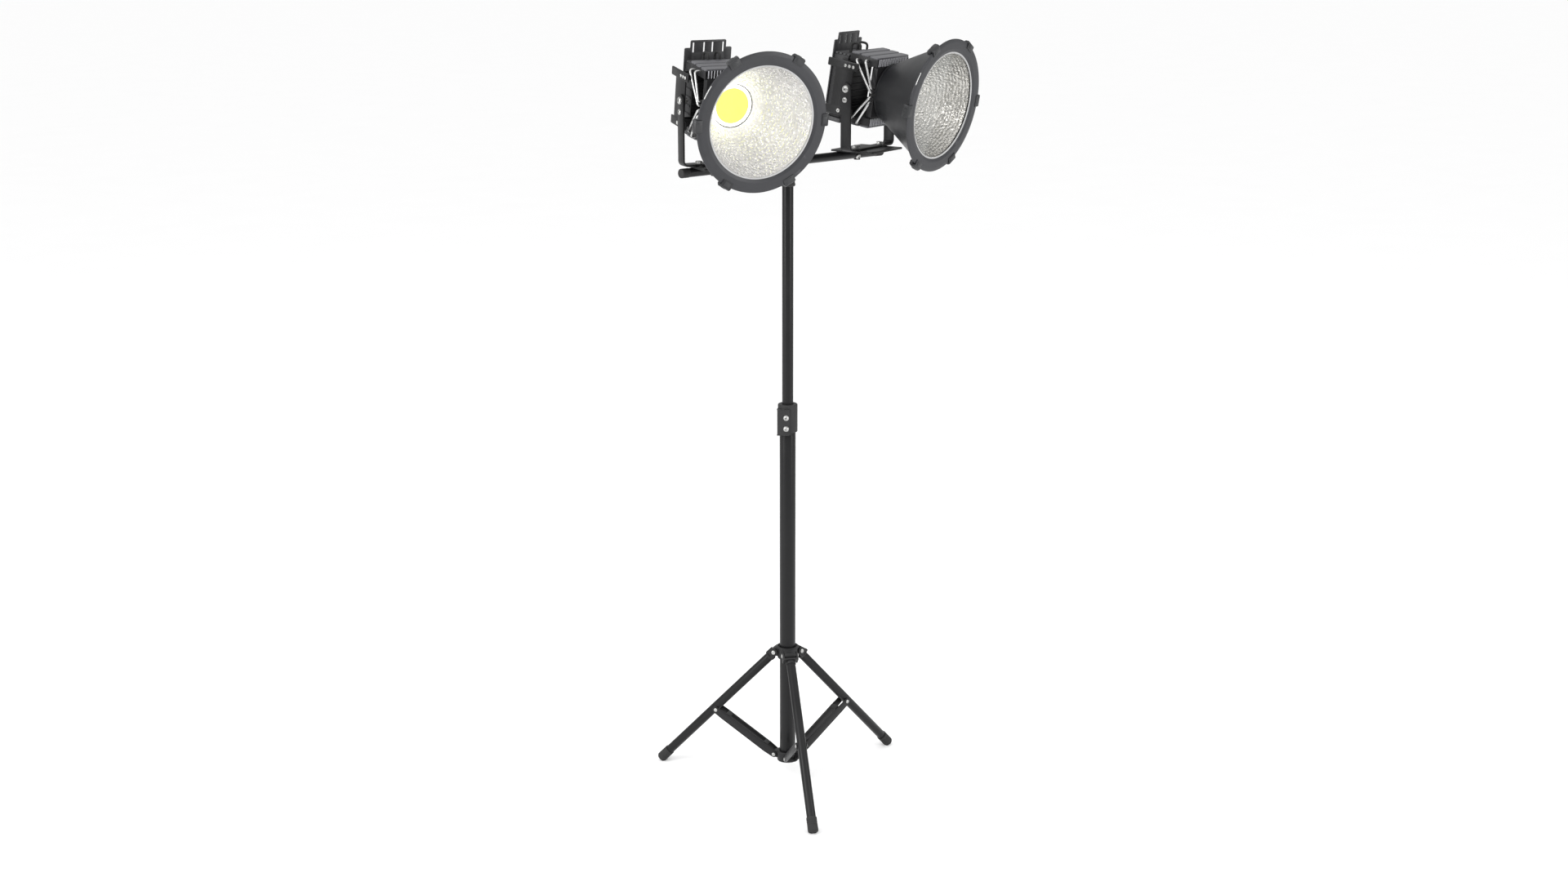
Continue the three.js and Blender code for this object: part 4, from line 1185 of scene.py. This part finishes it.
def make_led(lamp):
    rear, face_radius = LED.rear, LED.face
    board = ahead(tube(LED.board, LED.face_hole, rear, rear + 4.7, 0.5))
    base = ahead(disc(LED.base, rear, rear + 2.6, 0.5, 96))
    face = ahead(turned(rounded([
        (0, 56, 0), (face_radius, 56, 0.3), (face_radius, 60.2, 1.6), (0, 61, 0)], 0.3), 96))
    lamp.add("led_board", [board, base], LED_BOARD[lamp.side], slot="led_phosphor")
    lamp.add("led_face", [face], PHOSPHOR[lamp.side], "led_module", slot="led_phosphor")


def make_lens(lamp):
    pane = ahead(disc(129.2, 185.5, 188.2, 0.5, 128))
    lamp.add("glass", [pane], GLASS, "lens")


def make_bezel(lamp):
    radius, opening, face = BEZEL.radius, BEZEL.opening, BEZEL.face
    flange, seat = BEZEL.flange_rear, 188.5
    inner, outer, rear = SKIRT.inner, SKIRT.outer, SKIRT.rear
    rim = ahead(turned(rounded([
        (opening, seat, 0.4), (inner, seat, 1), (inner, rear, 0.5), (outer, rear, 0.8),
        (outer, flange, 1.2), (radius, flange, 1.2), (radius, face - 0.9, 2.2), (radius - 8, face, 6),
        (opening + 7, face, 4), (opening, face - 1.6, 1.4)], 0.5), 160))
    lamp.add("bezel_ring", [rim], BEZEL_PAINT, "bezel")
    # A light grey ring at the opening's edge: a gasket painted as a highlight.
    seal_highlight = ahead(tube(opening + 4, opening - 3.4, 188.3, 190.8, 1.1, 160))
    lamp.add("bezel_seal_highlight", [seal_highlight], SEAL_HIGHLIGHT, slot="rubber_black")
    # A short bright wire on the bezel's back edge, put there as a painted highlight.
    around, depth = HIGHLIGHT_WIRE.around, HIGHLIGHT_WIRE.depth
    angles = [math.radians(HIGHLIGHT_WIRE.start + HIGHLIGHT_WIRE.step * k)
              for k in range(HIGHLIGHT_WIRE.count)]
    wire = [Vector((around * math.cos(a), -depth, around * math.sin(a))) for a in angles]
    lamp.add("highlight_wire", [rod_along(wire, HIGHLIGHT_WIRE.radius, 10)], ZINC)


def clip():
    """A hook over the bezel's edge, with a hinge barrel, a rib down its back and a pad in front."""
    hook = rounded([
        (134.4, -178.4, 1.5), (144, -178.4, 2.5), (148.2, -184, 3), (148.2, -191, 3),
        (145.4, -195.2, 2), (131.4, -195.2, 1.2), (131.4, -192.9, 0.5), (142.4, -192.9, 0.5),
        (142.4, -187, 1), (134.4, -187, 1)], 1)
    strap = slab([hook], -12.6, 12.6, 1.3)
    barrel = moved(disc(3.2, -10, 10, 0.7, 32), 138.6, -181.2, 0)
    rib = slab([rounded([(146, -191), (149.0, -189), (149.0, -183), (146, -181)], 1.2)], -4, 4, 0.9)
    pad = slab([rounded([(134, -195.9), (143, -195.9), (143, -194), (134, -194)], 0.8)], -7, 7, 0.6)
    return strap, barrel, rib, pad


def make_clips(lamp):
    """Six clips that hook over the bezel's edge."""
    turns = [Matrix.Rotation(k * math.pi / 3, 3, "Y") for k in range(6)]
    clips = [turned_to(part, turn) for turn in turns for part in clip()]
    lamp.add("clips", clips, CLIP_PAINT, slot="bezel_grey")


def make_head(side):
    lamp = Holder(f"head_{side}", head_frame(side), side)
    make_yoke(side)
    for make in (make_cheeks, make_pivots, make_rear_plate, make_driver, make_fins, make_heat_pipes,
                 make_shade, make_reflector, make_led, make_lens, make_bezel, make_clips):
        make(lamp)


# ---------- camera, floor and light ----------

# Metres and degrees: where the camera stands round the mast, and which way it looks.
CAMERA_AWAY = 4.611
CAMERA_HEIGHT = 1.9651
CAMERA_AZIMUTH = -132.61
CAMERA_LOOKS = 47.49
CAMERA_DOWN = 14.30

SKY_LOW = 0.35
SKY_HIGH = 1.4


def make_camera():
    data = bpy.data.cameras.new("camera")
    data.lens = 50
    data.sensor_width = 36
    camera = bpy.data.objects.new("camera", data)
    azimuth = math.radians(CAMERA_AZIMUTH)
    camera.location = (
        MAST_X + CAMERA_AWAY * math.cos(azimuth),
        MAST_Y + CAMERA_AWAY * math.sin(azimuth),
        CAMERA_HEIGHT)
    camera.rotation_euler = (math.radians(90 - CAMERA_DOWN), 0, math.radians(CAMERA_LOOKS - 90))
    bpy.context.scene.collection.objects.link(camera)
    bpy.context.scene.camera = camera


def make_floor():
    finish = Finish("floor_white")
    finish.drive("Base Color", finish.mixed(finish.noise(3, 2), (0.93, 0.93, 0.93), (0.95, 0.95, 0.95)))
    finish.set("Roughness", 0.9)
    finish.set("Specular IOR Level", 0.1)
    mesh = bpy.data.meshes.new("floor")
    reach = 40
    corners = [(-reach, -reach, 0), (reach, -reach, 0), (reach, reach, 0), (-reach, reach, 0)]
    mesh.from_pydata(corners, [], [(0, 1, 2, 3)])
    mesh.materials.append(finish.material)
    floor = bpy.data.objects.new("floor", mesh)
    bpy.context.scene.collection.objects.link(floor)


def add_softbox(name, azimuth, away, height, width, tall, watts):
    """An area lamp that looks at the stand's middle, from an azimuth counted from the camera's own."""
    angle = math.radians(CAMERA_AZIMUTH + azimuth)
    data = bpy.data.lights.new(name, "AREA")
    data.shape = "RECTANGLE"
    data.size = width
    data.size_y = tall
    data.energy = watts
    lamp = bpy.data.objects.new(name, data)
    lamp.location = (away * math.cos(angle), away * math.sin(angle), height)
    aim = Vector((0, 0, 0.9)) - lamp.location
    lamp.rotation_euler = aim.to_track_quat("-Z", "Y").to_euler()
    bpy.context.scene.collection.objects.link(lamp)


def make_sky():
    """A studio sky: bright overhead and dim at the horizon, so metal has something to show."""
    world = bpy.data.worlds.new("studio")
    world.use_nodes = True
    nodes, links = world.node_tree.nodes, world.node_tree.links
    place = nodes.new("ShaderNodeTexCoord")
    split = nodes.new("ShaderNodeSeparateXYZ")
    links.new(place.outputs["Generated"], split.inputs["Vector"])
    rise = nodes.new("ShaderNodeMapRange")
    rise.inputs["To Min"].default_value = SKY_LOW
    rise.inputs["To Max"].default_value = SKY_HIGH
    links.new(split.outputs["Z"], rise.inputs["Value"])
    links.new(rise.outputs["Result"], nodes["Background"].inputs["Strength"])
    nodes["Background"].inputs["Color"].default_value = (1, 1, 1, 1)
    bpy.context.scene.world = world


def make_light():
    add_softbox("softbox_left", azimuth=-58, away=3.2, height=2.0, width=0.8, tall=2.6, watts=70)
    add_softbox("softbox_right", azimuth=62, away=3.4, height=1.8, width=0.7, tall=2.6, watts=45)
    add_softbox("softbox_front", azimuth=-8, away=4.4, height=3.4, width=2.4, tall=1.4, watts=50)
    make_sky()
    bpy.context.scene.view_settings.view_transform = "Standard"


make_camera()
make_floor()
make_light()
make_mast()
make_clamp()
make_collar_and_hub()
for leg_side in LEGS:
    make_leg(leg_side)
    make_strut(leg_side)
make_crossbar()
for head_side in HEADS:
    make_head(head_side)
